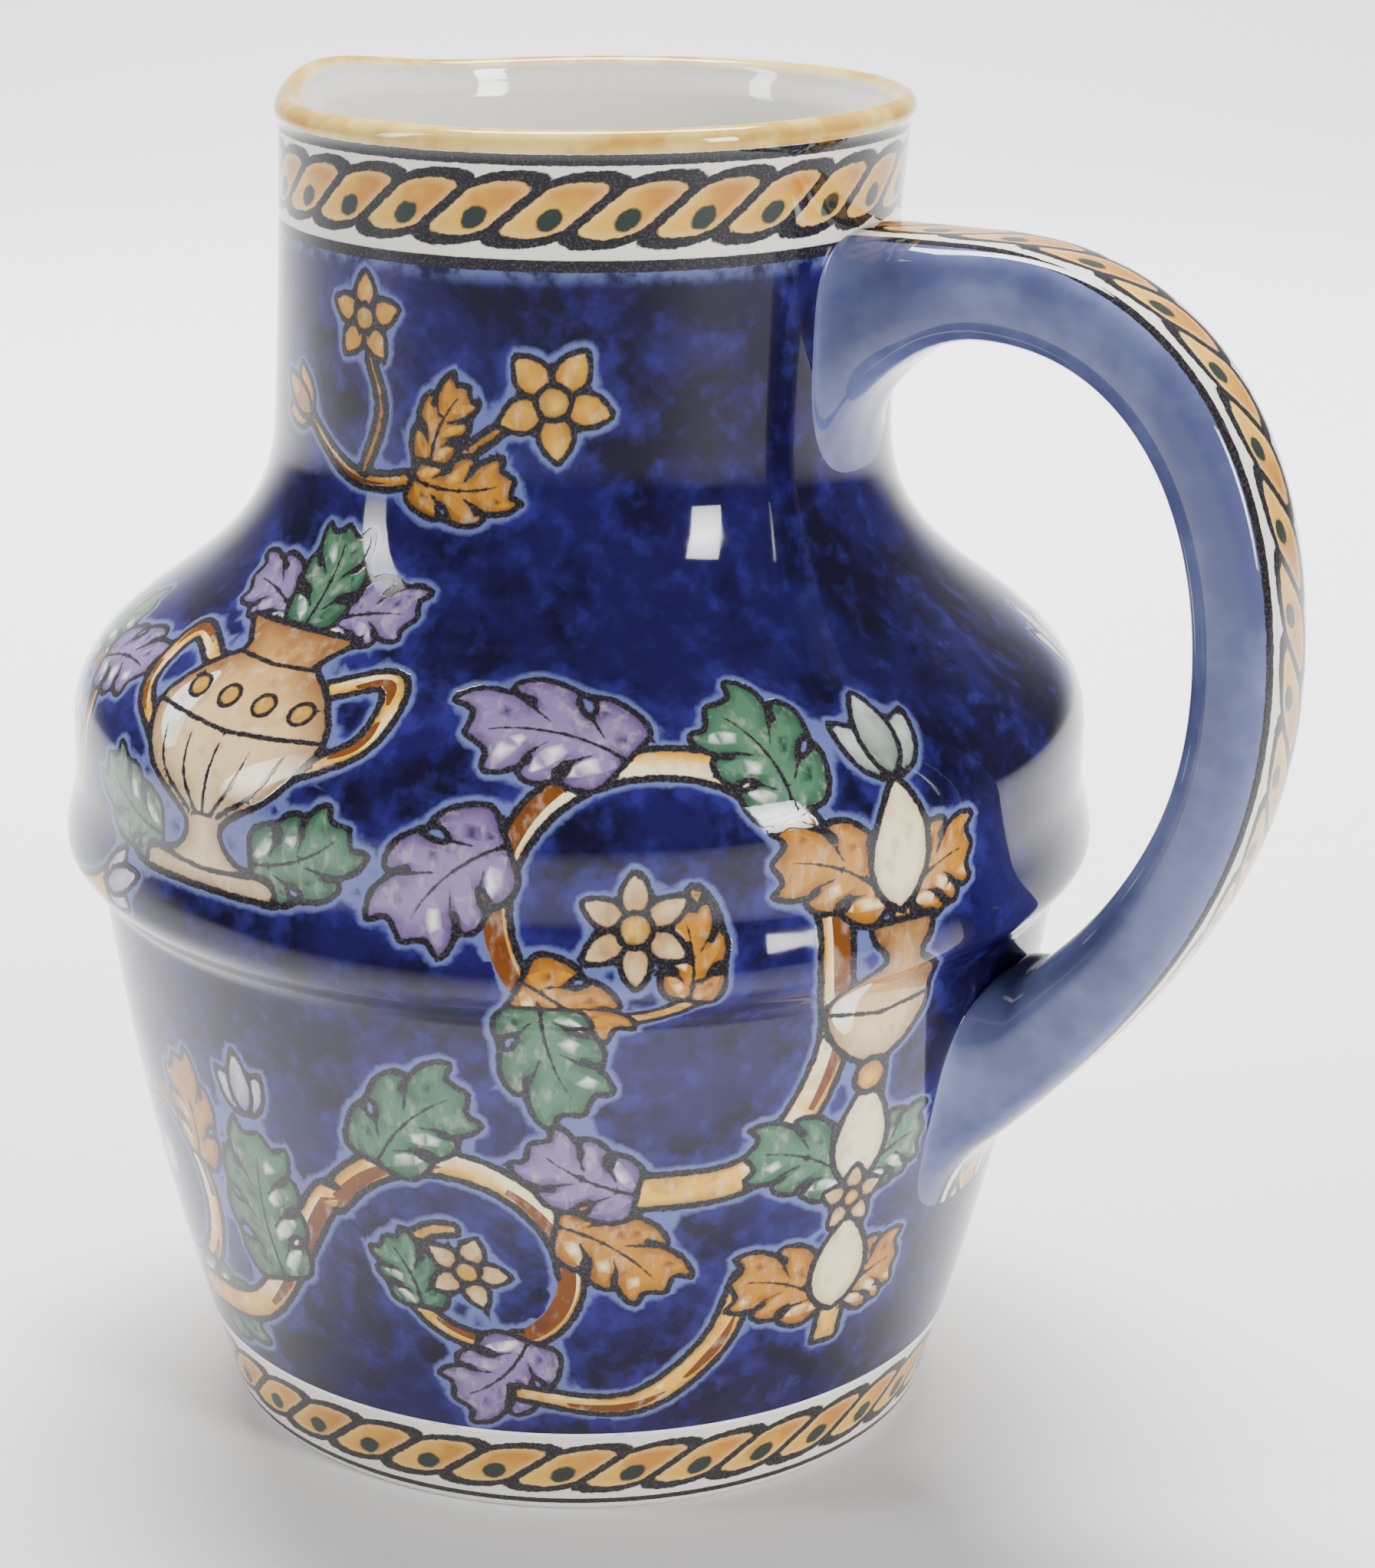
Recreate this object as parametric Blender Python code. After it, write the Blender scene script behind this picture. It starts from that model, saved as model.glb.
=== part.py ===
"""A small cream jug of glazed earthenware, in metres, +Z up.

The jug is one fired piece: a hollow turned body with a ridge round its middle and a pulled
pouring lip, and a strap handle joined to the neck and to the lower wall. The origin is the
centre of the flat underside. The handle points along +X and the lip along -X. HEIGHT is the
rim's height at the sides; the rim stands a little higher at the lip and over the handle.
"""
import math

import bmesh
import bpy
from mathutils import Vector
from mathutils.geometry import interpolate_bezier

# Heights and radii of the outside, from the underside up
HEIGHT = 0.1204
FOOT_RADIUS = 0.0330
FOOT_BEVEL = 0.0007
LOWER_WALL_TALL = 0.0500
LOWER_WALL_TOP_RADIUS = 0.0438
LOWER_WALL_SWELL = 0.0012
RIDGE_RADIUS = 0.0468
RIDGE_UNDERSIDE_TALL = 0.0046
RIDGE_SHOULDER_TALL = 0.0059
DRUM_RADIUS = 0.0458
DRUM_TALL = 0.0040
SHOULDER_TALL = 0.0275
SHOULDER_BULGE = 0.0005
NECK_FOOT_RADIUS = 0.0274
NECK_FOOT_SPREAD = 0.0004
NECK_WAIST_RADIUS = 0.0270
LIP_RADIUS = 0.0278
LIP_BEAD_RADIUS = 0.00125

# Wall, floor and the turned groove that sets off the foot ring
WALL = 0.0028
FLOOR = 0.0042
INNER_CORNER_RADIUS = 0.0060
FOOT_RING_WIDTH = 0.0045
GROOVE_WIDTH = 0.0030
GROOVE_DEPTH = 0.0008

# The rim, squeezed a little towards the handle by hand, and the small lip pulled out of it
SHAPED_RIM_TALL = 0.0440
RIM_SHIFT = 0.0014
RIM_TILT = 0.0005
SPOUT_REACH = 0.0014
SPOUT_RISE = 0.0014
SPOUT_HALF_ANGLE = math.radians(20)

# Strap handle
HANDLE_BELOW_RIM = 0.0110
HANDLE_NECK_ROOT_TALL = 0.0195
HANDLE_LOW_ROOT_HEIGHT = 0.0269
HANDLE_LOW_ROOT_TALL = 0.0174
HANDLE_BEND_HEIGHT = 0.0765
HANDLE_ARCH_RISE = 0.0018
CROWN_THICKENING = 0.0006
FINGER_GAP = 0.0128
HANDLE_DEPTH = 0.0079
HANDLE_WIDTH = 0.0112
HANDLE_NECK_ROOT_WIDTH = 0.0150
HANDLE_LOW_ROOT_WIDTH = 0.0176

# How strongly the strap's curves are pulled, as shares of the reach from neck to bend and of
# the heights from the bend up to the crown and down to the low root
BACK_TOP_PULL = 0.644
BACK_ARCH_PULL = 4.1
BACK_BEND_PULL_UP = 0.75
BACK_BEND_PULL_DOWN = 0.455
BACK_ROOT_PULL_OUT = 0.45
BACK_ROOT_PULL_UP = 0.263
CROWN_PLACE = 0.325
CROWN_PULL_IN = 0.151
CROWN_PULL_OUT = 0.324
FILLET_PULL_OUT = 0.049
FILLET_PULL_UP = 0.55
BELLY_BEND_PULL_UP = 0.545
BELLY_BEND_PULL_DOWN = 0.41
BELLY_ROOT_PULL_OUT = 0.65
BELLY_ROOT_PULL_UP = 0.28

# The strap's section: 1 is an ellipse, less is squarer
SIDE_ROUNDNESS = 0.62
BACK_ROUNDNESS = 0.45
BELLY_ROUNDNESS = 0.72
NECK_FLARE_STATIONS = 4
LOW_FLARE_STATIONS = 9

# Facets
TURNED_SEGMENTS = 48
SECTION_POINTS = 14
ARC_STEPS = 6

GLAZE_COLOUR = (0.035, 0.035, 0.22, 1.0)
GLAZE_ROUGHNESS = 0.08


def clear_scene():
    for old in list(bpy.data.objects):
        bpy.data.objects.remove(old, do_unlink=True)


def arc(start, start_pull, end_pull, end, steps=ARC_STEPS):
    """Points of one cubic curve in the (radius, height) plane."""
    knots = [Vector((p[0], p[1], 0.0)) for p in (start, start_pull, end_pull, end)]
    return [(p.x, p.y) for p in interpolate_bezier(*knots, steps + 1)]


def joined(*runs):
    """One polyline from runs that share their end points."""
    line = list(runs[0])
    for run in runs[1:]:
        line += run[1:]
    return line


def drum_foot_height():
    return LOWER_WALL_TALL + RIDGE_UNDERSIDE_TALL + RIDGE_SHOULDER_TALL


def neck_foot_height():
    return drum_foot_height() + DRUM_TALL + SHOULDER_TALL


def lower_wall_point(share):
    """The lower wall flares from the foot and swells a little on the way up."""
    radius = FOOT_RADIUS + (LOWER_WALL_TOP_RADIUS - FOOT_RADIUS) * share
    radius += LOWER_WALL_SWELL * math.sin(math.pi * share)
    return (radius, FOOT_BEVEL + (LOWER_WALL_TALL - FOOT_BEVEL) * share)


def lower_wall():
    return [lower_wall_point(i / ARC_STEPS) for i in range(ARC_STEPS + 1)]


def ridge():
    """The rounded moulding round the middle, stepped out over the lower wall."""
    foot = (LOWER_WALL_TOP_RADIUS, LOWER_WALL_TALL)
    crest = (RIDGE_RADIUS, LOWER_WALL_TALL + RIDGE_UNDERSIDE_TALL)
    top = (DRUM_RADIUS, drum_foot_height())
    over = 0.4 * RIDGE_UNDERSIDE_TALL
    under = arc(foot, (foot[0] + over / 2, foot[1] + over), (crest[0], crest[1] - over), crest, 5)
    back = arc(crest, (crest[0], crest[1] + over), (top[0], top[1] - over), top, 4)
    return joined(under, back)


def shoulder():
    top = neck_foot_height()
    foot = (DRUM_RADIUS, top - SHOULDER_TALL)
    return arc(foot, (foot[0] + SHOULDER_BULGE, foot[1] + 0.42 * SHOULDER_TALL),
               (NECK_FOOT_RADIUS + NECK_FOOT_SPREAD, top - 0.58 * SHOULDER_TALL),
               (NECK_FOOT_RADIUS, top), 11)


def lip_centre():
    return (LIP_RADIUS - LIP_BEAD_RADIUS, HEIGHT - LIP_BEAD_RADIUS)


def neck():
    foot = (NECK_FOOT_RADIUS, neck_foot_height())
    centre = lip_centre()
    top = (centre[0] + 0.7 * LIP_BEAD_RADIUS, centre[1] - 0.72 * LIP_BEAD_RADIUS)
    tall = top[1] - foot[1]
    return arc(foot, (foot[0] - NECK_FOOT_SPREAD / 2, foot[1] + 0.3 * tall),
               (NECK_WAIST_RADIUS, top[1] - 0.3 * tall), top, 7)


def lip():
    """The rounded rim, from its outer side over the top to its inner side."""
    centre = lip_centre()
    turns = [math.radians(-25 + 205 * i / ARC_STEPS) for i in range(ARC_STEPS + 1)]
    return [(centre[0] + LIP_BEAD_RADIUS * math.cos(a), centre[1] + LIP_BEAD_RADIUS * math.sin(a))
            for a in turns]


def underside():
    """From the centre out: flat middle, turned groove, foot ring and its worn edge."""
    ring_outer = FOOT_RADIUS - FOOT_BEVEL
    ring_inner = ring_outer - FOOT_RING_WIDTH
    groove_inner = ring_inner - GROOVE_WIDTH
    slope = GROOVE_DEPTH / 2
    return [(0.0, 0.0), (groove_inner, 0.0), (groove_inner + slope, GROOVE_DEPTH),
            (ring_inner - slope, GROOVE_DEPTH), (ring_inner, 0.0), (ring_outer, 0.0)]


def inner_wall():
    """The outside without its ridge, moved in by the wall, from the rim down to the floor."""
    drum_foot = (DRUM_RADIUS, drum_foot_height())
    outside = joined(lower_wall(), [lower_wall_point(1.0), drum_foot], shoulder_from(drum_foot), neck())
    moved = []
    for i, (radius, height) in enumerate(outside):
        before = outside[max(i - 1, 0)]
        after = outside[min(i + 1, len(outside) - 1)]
        run = Vector((after[0] - before[0], after[1] - before[1])).normalized()
        moved.append((radius - WALL * run.y, height + WALL * run.x))
    wall_foot = FLOOR + INNER_CORNER_RADIUS
    wall = [p for p in moved[::2] if wall_foot + WALL / 2 < p[1] < lip_centre()[1] - WALL / 2]
    corner_radius = radius_on(moved, wall_foot)
    corner = arc((corner_radius, wall_foot), (corner_radius, wall_foot - INNER_CORNER_RADIUS * 0.55),
                 (corner_radius - INNER_CORNER_RADIUS * 0.45, FLOOR),
                 (corner_radius - INNER_CORNER_RADIUS, FLOOR), 4)
    return list(reversed(wall)) + corner + [(0.0, FLOOR)]


def shoulder_from(drum_foot):
    return joined([drum_foot, (DRUM_RADIUS, drum_foot[1] + DRUM_TALL)], shoulder())


def radius_on(line, height):
    """The radius of a rising polyline at a height."""
    for low, high in zip(line, line[1:]):
        if low[1] <= height <= high[1] and high[1] > low[1]:
            return low[0] + (high[0] - low[0]) * (height - low[1]) / (high[1] - low[1])
    return line[-1][0]


def outer_wall():
    drum_foot = (DRUM_RADIUS, drum_foot_height())
    return joined(lower_wall(), ridge(), shoulder_from(drum_foot), neck())


def shaped_share(height):
    """How far the shaping by hand has come at a height: nothing at its foot, all at the rim."""
    rise = (height - (HEIGHT - SHAPED_RIM_TALL)) / SHAPED_RIM_TALL
    return min(max(rise, 0.0), 1.0) ** 2


def shape_rim(point):
    """Move one point of the turned body to where the potter's hands left it."""
    share = shaped_share(point.z)
    turn = math.atan2(point.y, point.x)
    off_lip = math.pi - abs(turn)
    beak = math.exp(-(off_lip / SPOUT_HALF_ANGLE) ** 2)
    outward = Vector((point.x, point.y, 0.0)).normalized() * SPOUT_REACH * beak
    upward = RIM_TILT * math.cos(turn) + SPOUT_RISE * beak
    return point + share * (outward + Vector((RIM_SHIFT, 0.0, upward)))


def turned_body():
    """Spin the whole section round the centre line, then pull the lip."""
    section = underside() + outer_wall() + lip() + inner_wall()
    bm = bmesh.new()
    corners = [bm.verts.new((radius, 0.0, height)) for radius, height in section]
    edges = [bm.edges.new(pair) for pair in zip(corners, corners[1:])]
    bmesh.ops.spin(bm, geom=corners + edges, cent=(0, 0, 0), axis=(0, 0, 1), dvec=(0, 0, 0),
                   angle=2 * math.pi, steps=TURNED_SEGMENTS, use_merge=True, use_duplicate=False)
    bmesh.ops.remove_doubles(bm, verts=bm.verts[:], dist=1e-6)
    for vert in bm.verts:
        if math.hypot(vert.co.x, vert.co.y) > WALL:
            vert.co = shape_rim(vert.co)
    bmesh.ops.recalc_face_normals(bm, faces=bm.faces[:])
    return bm


def strap_stations():
    """Matched (outer, inner, width) stations down the handle, outer and inner in the XZ plane."""
    wall = outer_wall()
    top = HEIGHT - HANDLE_BELOW_RIM
    inner_bend = RIDGE_RADIUS + FINGER_GAP
    outer_bend = inner_bend + HANDLE_DEPTH

    def root(height):
        """A strap end lies in the middle of the wall."""
        return (radius_on(wall, height) + RIM_SHIFT * shaped_share(height) - WALL / 2, height)

    neck_top, neck_low = root(top), root(top - HANDLE_NECK_ROOT_TALL)
    low_root, low_top = root(HANDLE_LOW_ROOT_HEIGHT), root(HANDLE_LOW_ROOT_HEIGHT + HANDLE_LOW_ROOT_TALL)
    reach = outer_bend - neck_top[0]
    upper = top - HANDLE_BEND_HEIGHT
    lower = HANDLE_BEND_HEIGHT - HANDLE_LOW_ROOT_HEIGHT
    bend = (outer_bend, HANDLE_BEND_HEIGHT)
    back_top = arc(neck_top, (neck_top[0] + BACK_TOP_PULL * reach, top + BACK_ARCH_PULL * HANDLE_ARCH_RISE),
                   (outer_bend, HANDLE_BEND_HEIGHT + BACK_BEND_PULL_UP * upper), bend, 15)
    back_low = arc(bend, (outer_bend, HANDLE_BEND_HEIGHT - BACK_BEND_PULL_DOWN * lower),
                   (low_root[0] + BACK_ROOT_PULL_OUT * (outer_bend - low_root[0]),
                    low_root[1] + BACK_ROOT_PULL_UP * lower), low_root, 12)

    crown = (neck_top[0] + CROWN_PLACE * reach, top + HANDLE_ARCH_RISE - HANDLE_DEPTH - CROWN_THICKENING)
    inside = (inner_bend, HANDLE_BEND_HEIGHT)
    inner_upper = crown[1] - HANDLE_BEND_HEIGHT
    inner_lower = HANDLE_BEND_HEIGHT - low_top[1]
    fillet = arc(neck_low, (neck_low[0] + FILLET_PULL_OUT * reach,
                            neck_low[1] + FILLET_PULL_UP * (crown[1] - neck_low[1])),
                 (crown[0] - CROWN_PULL_IN * reach, crown[1]), crown, 4)
    belly_top = arc(crown, (crown[0] + CROWN_PULL_OUT * reach, crown[1]),
                    (inner_bend, HANDLE_BEND_HEIGHT + BELLY_BEND_PULL_UP * inner_upper), inside, 11)
    belly_low = arc(inside, (inner_bend, HANDLE_BEND_HEIGHT - BELLY_BEND_PULL_DOWN * inner_lower),
                    (low_top[0] + BELLY_ROOT_PULL_OUT * (inner_bend - low_top[0]),
                     low_top[1] + BELLY_ROOT_PULL_UP * inner_lower), low_top, 12)
    back = joined(back_top, back_low)
    belly = joined(fillet, belly_top, belly_low)

    last = len(back) - 1
    stations = []
    for i, (outer, inner) in enumerate(zip(back, belly)):
        neck_flare = max(0.0, 1 - i / NECK_FLARE_STATIONS) ** 2
        low_flare = max(0.0, 1 - (last - i) / LOW_FLARE_STATIONS) ** 2
        width = HANDLE_WIDTH
        width += (HANDLE_NECK_ROOT_WIDTH - HANDLE_WIDTH) * neck_flare
        width += (HANDLE_LOW_ROOT_WIDTH - HANDLE_WIDTH) * low_flare
        stations.append((outer, inner, width))
    return stations


def strap_section(outer, inner, width):
    """One cross-section: a broad, nearly flat back and a rounder belly."""
    back = Vector((outer[0], 0.0, outer[1]))
    belly = Vector((inner[0], 0.0, inner[1]))
    middle = belly.lerp(back, 0.5)
    half_depth = (back - belly) / 2
    points = []
    for i in range(SECTION_POINTS):
        turn = 2 * math.pi * (i + 0.5) / SECTION_POINTS
        roundness = BACK_ROUNDNESS if math.sin(turn) > 0 else BELLY_ROUNDNESS
        side = math.copysign(abs(math.cos(turn)) ** SIDE_ROUNDNESS, math.cos(turn))
        depth = math.copysign(abs(math.sin(turn)) ** roundness, math.sin(turn))
        points.append(middle + half_depth * depth + Vector((0.0, side * width / 2, 0.0)))
    return points


def strap_handle():
    """Loft the stations into one closed strap whose ends lie inside the body's wall."""
    bm = bmesh.new()
    rings = []
    for outer, inner, width in strap_stations():
        corners = [bm.verts.new(p) for p in strap_section(outer, inner, width)]
        rings.append([bm.edges.new((a, b)) for a, b in zip(corners, corners[1:] + corners[:1])])
    for ring, following in zip(rings, rings[1:]):
        bmesh.ops.bridge_loops(bm, edges=ring + following)
    for end in (rings[0], rings[-1]):
        bmesh.ops.contextual_create(bm, geom=end)
    bmesh.ops.recalc_face_normals(bm, faces=bm.faces[:])
    return bm


def glaze():
    material = bpy.data.materials.new("cobalt_glaze")
    material.use_nodes = True
    shader = material.node_tree.nodes["Principled BSDF"]
    shader.inputs["Base Color"].default_value = GLAZE_COLOUR
    shader.inputs["Roughness"].default_value = GLAZE_ROUGHNESS
    shader.inputs["Metallic"].default_value = 0.0
    return material


def as_object(name, bm, material):
    mesh = bpy.data.meshes.new(name)
    bm.to_mesh(mesh)
    bm.free()
    mesh.materials.append(material)
    mesh.shade_smooth()
    mesh.set_sharp_from_angle(angle=math.radians(40))
    thing = bpy.data.objects.new(name, mesh)
    bpy.context.scene.collection.objects.link(thing)
    return thing


def main():
    clear_scene()
    material = glaze()
    jug = as_object("jug", turned_body(), material)
    strap = as_object("strap_guide", strap_handle(), material)
    strap.hide_render = True
    strap.display_type = "WIRE"
    union = jug.modifiers.new("handle joined to the body", "BOOLEAN")
    union.operation = "UNION"
    union.solver = "EXACT"
    union.object = strap


main()
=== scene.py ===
# %% [markdown]
# A cream jug of painted, glazed earthenware.
# The real jug is one fired piece: a turned body with a pulled lip and a strap handle, coated
# with cobalt blue and painted by hand under a clear, very shiny glaze. The model is one mesh
# too. Its outside is drawn flat, as a painter's pattern sheet, triangulated so that every
# painted outline is an edge, and then wrapped round the turned form. The glaze materials read
# how far each point is from a painted line, so lines stay crisp and the colours stay flush.

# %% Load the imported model
import math

import bmesh
import bpy
import numpy as np
from mathutils import Matrix, Vector
from mathutils.geometry import delaunay_2d_cdt
from mathutils.kdtree import KDTree


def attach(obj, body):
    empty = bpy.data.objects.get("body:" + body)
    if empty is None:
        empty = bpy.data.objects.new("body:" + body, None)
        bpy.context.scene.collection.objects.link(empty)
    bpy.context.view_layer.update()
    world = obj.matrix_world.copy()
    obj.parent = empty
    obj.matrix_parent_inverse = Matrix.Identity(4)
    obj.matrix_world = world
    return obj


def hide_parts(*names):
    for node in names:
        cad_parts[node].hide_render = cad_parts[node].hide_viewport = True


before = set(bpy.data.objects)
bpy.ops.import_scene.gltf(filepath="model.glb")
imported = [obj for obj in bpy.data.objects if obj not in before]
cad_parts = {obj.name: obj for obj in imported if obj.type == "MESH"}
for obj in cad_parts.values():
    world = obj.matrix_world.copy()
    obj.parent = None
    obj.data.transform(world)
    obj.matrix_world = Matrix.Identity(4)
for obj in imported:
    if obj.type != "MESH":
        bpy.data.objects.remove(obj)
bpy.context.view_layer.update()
MM = 0.001

# %% [markdown]
# The photograph was taken from a little above the rim, at arm's length, with the handle turned
# towards the lens. The camera is placed by real distances from the jug's centre line and
# turned by small angles, which is easier to check than a free rotation.

# %% Camera
HANDLE_TOWARDS_CAMERA = math.radians(30)
CAMERA_DISTANCE = 321.2 * MM
CAMERA_HEIGHT = 161.5 * MM
CAMERA_SWING = math.radians(-1.75)
CAMERA_TILT = math.radians(18.02)
CAMERA_ROLL = math.radians(0.73)
LENS_LONG_SIDES = 2.338  # focal length as a multiple of the frame's long side

camera_data = bpy.data.cameras.new("camera")
camera_data.sensor_width = 36.0
camera_data.lens = LENS_LONG_SIDES * camera_data.sensor_width
camera_data.clip_start = 0.01
camera = bpy.data.objects.new("camera", camera_data)
camera.matrix_world = (
    Matrix.Rotation(HANDLE_TOWARDS_CAMERA, 4, "Z")
    @ Matrix.Translation((0.0, -CAMERA_DISTANCE, CAMERA_HEIGHT))
    @ Matrix.Rotation(CAMERA_SWING, 4, "Z")
    @ Matrix.Rotation(math.radians(90) - CAMERA_TILT, 4, "X")
    @ Matrix.Rotation(CAMERA_ROLL, 4, "Z")
)
bpy.context.scene.collection.objects.link(camera)
bpy.context.scene.camera = camera
print("Camera stands at", [round(v / MM) for v in camera.location], "mm")

# %% [markdown]
# The section of a turned pot is one line from the middle of the underside, up the outside,
# over the rim and down to the middle of the floor inside. It is built from the same named
# sizes as the solid. Sampling it finely by its own length gives every point of the pot two
# plain coordinates: the turn round the centre line, and the profile length in millimetres.

# %% The turned section
HEIGHT = 120.4
FOOT_RADIUS = 33.0
FOOT_BEVEL = 0.7
LOWER_WALL_TALL = 50.0
LOWER_WALL_TOP_RADIUS = 43.8
LOWER_WALL_SWELL = 1.2
RIDGE_RADIUS = 46.8
RIDGE_UNDERSIDE_TALL = 4.6
RIDGE_SHOULDER_TALL = 5.9
DRUM_RADIUS = 45.8
DRUM_TALL = 4.0
SHOULDER_TALL = 27.5
SHOULDER_BULGE = 0.5
NECK_FOOT_RADIUS = 27.4
NECK_FOOT_SPREAD = 0.4
NECK_WAIST_RADIUS = 27.0
LIP_RADIUS = 27.8
LIP_BEAD_RADIUS = 1.25
WALL = 2.8
FLOOR = 4.2
INNER_CORNER_RADIUS = 6.0
FOOT_RING_WIDTH = 4.5
GROOVE_WIDTH = 3.0
GROOVE_DEPTH = 0.8
GLAZE_SOFTENING = 0.22  # how far the glaze rounds every edge, in mm
PROFILE_STEP = 0.05

DRUM_FOOT = LOWER_WALL_TALL + RIDGE_UNDERSIDE_TALL + RIDGE_SHOULDER_TALL
NECK_FOOT = DRUM_FOOT + DRUM_TALL + SHOULDER_TALL
LIP_CENTRE = (LIP_RADIUS - LIP_BEAD_RADIUS, HEIGHT - LIP_BEAD_RADIUS)


def arc(start, start_pull, end_pull, end, steps=40):
    """Points of one cubic curve, without its first point."""
    t = np.linspace(0, 1, steps + 1)[1:, None]
    knots = np.array([start, start_pull, end_pull, end], float)
    return ((1 - t) ** 3 * knots[0] + 3 * t * (1 - t) ** 2 * knots[1]
            + 3 * t * t * (1 - t) * knots[2] + t ** 3 * knots[3])


def lower_wall():
    share = np.linspace(0, 1, 60)
    radius = FOOT_RADIUS + (LOWER_WALL_TOP_RADIUS - FOOT_RADIUS) * share
    radius = radius + LOWER_WALL_SWELL * np.sin(np.pi * share)
    return np.stack([radius, FOOT_BEVEL + (LOWER_WALL_TALL - FOOT_BEVEL) * share], 1)


def ridge():
    over = 0.4 * RIDGE_UNDERSIDE_TALL
    foot = (LOWER_WALL_TOP_RADIUS, LOWER_WALL_TALL)
    crest = (RIDGE_RADIUS, LOWER_WALL_TALL + RIDGE_UNDERSIDE_TALL)
    under = arc(foot, (foot[0] + over / 2, foot[1] + over), (crest[0], crest[1] - over), crest)
    back = arc(crest, (crest[0], crest[1] + over), (DRUM_RADIUS, DRUM_FOOT - over),
               (DRUM_RADIUS, DRUM_FOOT))
    return np.concatenate([under, back])


def shoulder():
    foot = NECK_FOOT - SHOULDER_TALL
    return arc((DRUM_RADIUS, foot), (DRUM_RADIUS + SHOULDER_BULGE, foot + 0.42 * SHOULDER_TALL),
               (NECK_FOOT_RADIUS + NECK_FOOT_SPREAD, NECK_FOOT - 0.58 * SHOULDER_TALL),
               (NECK_FOOT_RADIUS, NECK_FOOT))


def neck():
    top = (LIP_CENTRE[0] + 0.7 * LIP_BEAD_RADIUS, LIP_CENTRE[1] - 0.72 * LIP_BEAD_RADIUS)
    tall = top[1] - NECK_FOOT
    return arc((NECK_FOOT_RADIUS, NECK_FOOT),
               (NECK_FOOT_RADIUS - NECK_FOOT_SPREAD / 2, NECK_FOOT + 0.3 * tall),
               (NECK_WAIST_RADIUS, top[1] - 0.3 * tall), top)


def lip():
    turns = np.radians(np.linspace(-25, 180, 40))
    return np.stack([LIP_CENTRE[0] + LIP_BEAD_RADIUS * np.cos(turns),
                     LIP_CENTRE[1] + LIP_BEAD_RADIUS * np.sin(turns)], 1)


def inside():
    """The outside without its ridge, moved in by the wall, from the rim to the floor's middle."""
    line = np.concatenate([lower_wall(), [(DRUM_RADIUS, DRUM_FOOT)], shoulder(), neck()])
    run = np.gradient(line, axis=0)
    run /= np.linalg.norm(run, axis=1)[:, None]
    moved = line + WALL * np.stack([-run[:, 1], run[:, 0]], 1)
    corner_top = FLOOR + INNER_CORNER_RADIUS
    corner_radius = float(np.interp(corner_top, moved[:, 1], moved[:, 0]))
    keep = (moved[:, 1] > corner_top + 1.4) & (moved[:, 1] < LIP_CENTRE[1] - 1.4)
    corner = arc((corner_radius, corner_top), (corner_radius, corner_top - 0.55 * INNER_CORNER_RADIUS),
                 (corner_radius - 0.45 * INNER_CORNER_RADIUS, FLOOR),
                 (corner_radius - INNER_CORNER_RADIUS, FLOOR))
    return np.concatenate([moved[keep][::-1], corner, [(0.0, FLOOR)]])


def underside():
    ring_outer = FOOT_RADIUS - FOOT_BEVEL
    ring_inner = ring_outer - FOOT_RING_WIDTH
    groove_inner = ring_inner - GROOVE_WIDTH
    slope = GROOVE_DEPTH / 2
    return np.array([(0.0, 0.0), (groove_inner, 0.0), (groove_inner + slope, GROOVE_DEPTH),
                     (ring_inner - slope, GROOVE_DEPTH), (ring_inner, 0.0), (ring_outer, 0.0)])


def resample(line, step):
    """A polyline as points a fixed length apart, with the length at each of them."""
    length = np.concatenate([[0], np.cumsum(np.linalg.norm(np.diff(line, axis=0), axis=1))])
    even = np.linspace(0, length[-1], int(length[-1] / step) + 1)
    return np.stack([np.interp(even, length, line[:, i]) for i in range(line.shape[1])], 1), even


def soften(line, reach):
    """Round a finely sampled line's corners with a bell-shaped running average."""
    half = int(3 * reach / PROFILE_STEP)
    bell = np.exp(-0.5 * (np.arange(-half, half + 1) * PROFILE_STEP / reach) ** 2)
    padded = np.concatenate([np.repeat(line[:1], half, 0), line, np.repeat(line[-1:], half, 0)])
    return np.stack([np.convolve(padded[:, i], bell / bell.sum(), "valid") for i in range(2)], 1)


whole_section = [underside(), lower_wall(), ridge(), shoulder(), neck(), lip(), inside()]
section, section_length = resample(np.concatenate(whole_section), PROFILE_STEP)
foot_edge = int(np.argmin(np.hypot(section[:, 0] - (FOOT_RADIUS - FOOT_BEVEL), section[:, 1])))
section = soften(section, GLAZE_SOFTENING)
section[:, 1] = np.maximum(section[:, 1], 0.0)
section_length = section_length - section_length[foot_edge]
rim_top = int(np.argmax(section[:, 1]))
RIM_PROFILE = float(section_length[rim_top])
UNDERSIDE_MIDDLE, FLOOR_MIDDLE = float(section_length[0]), float(section_length[-1])
profile_marks = (UNDERSIDE_MIDDLE, RIM_PROFILE, FLOOR_MIDDLE)
print("Underside, rim and floor lie at", [round(v, 1) for v in profile_marks], "mm of profile")


def profile_at_height(height):
    """Profile length where the outside reaches a height."""
    outside = slice(foot_edge + 10, rim_top)
    return float(np.interp(height, section[outside, 1], section_length[outside]))


# %% [markdown]
# The soft neck was shaped by hand after turning: it leans a little towards the handle, and a
# small lip is pulled out and up on the other side. One function moves any point of the turned
# form, and its normal is measured from two close neighbours, so the glaze reflects smoothly
# whatever the triangles are.

# %% From turn and profile length to a place on the jug
SHAPED_RIM_TALL = 44.0
RIM_SHIFT = 1.4
RIM_TILT = 0.5
SPOUT_REACH = 1.4
SPOUT_RISE = 1.4
SPOUT_HALF_ANGLE = math.radians(20)


def shaped_share(height):
    """How far the shaping by hand has come at a height: nothing at its foot, all at the rim."""
    return np.clip((height - (HEIGHT - SHAPED_RIM_TALL)) / SHAPED_RIM_TALL, 0, 1) ** 2


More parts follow.
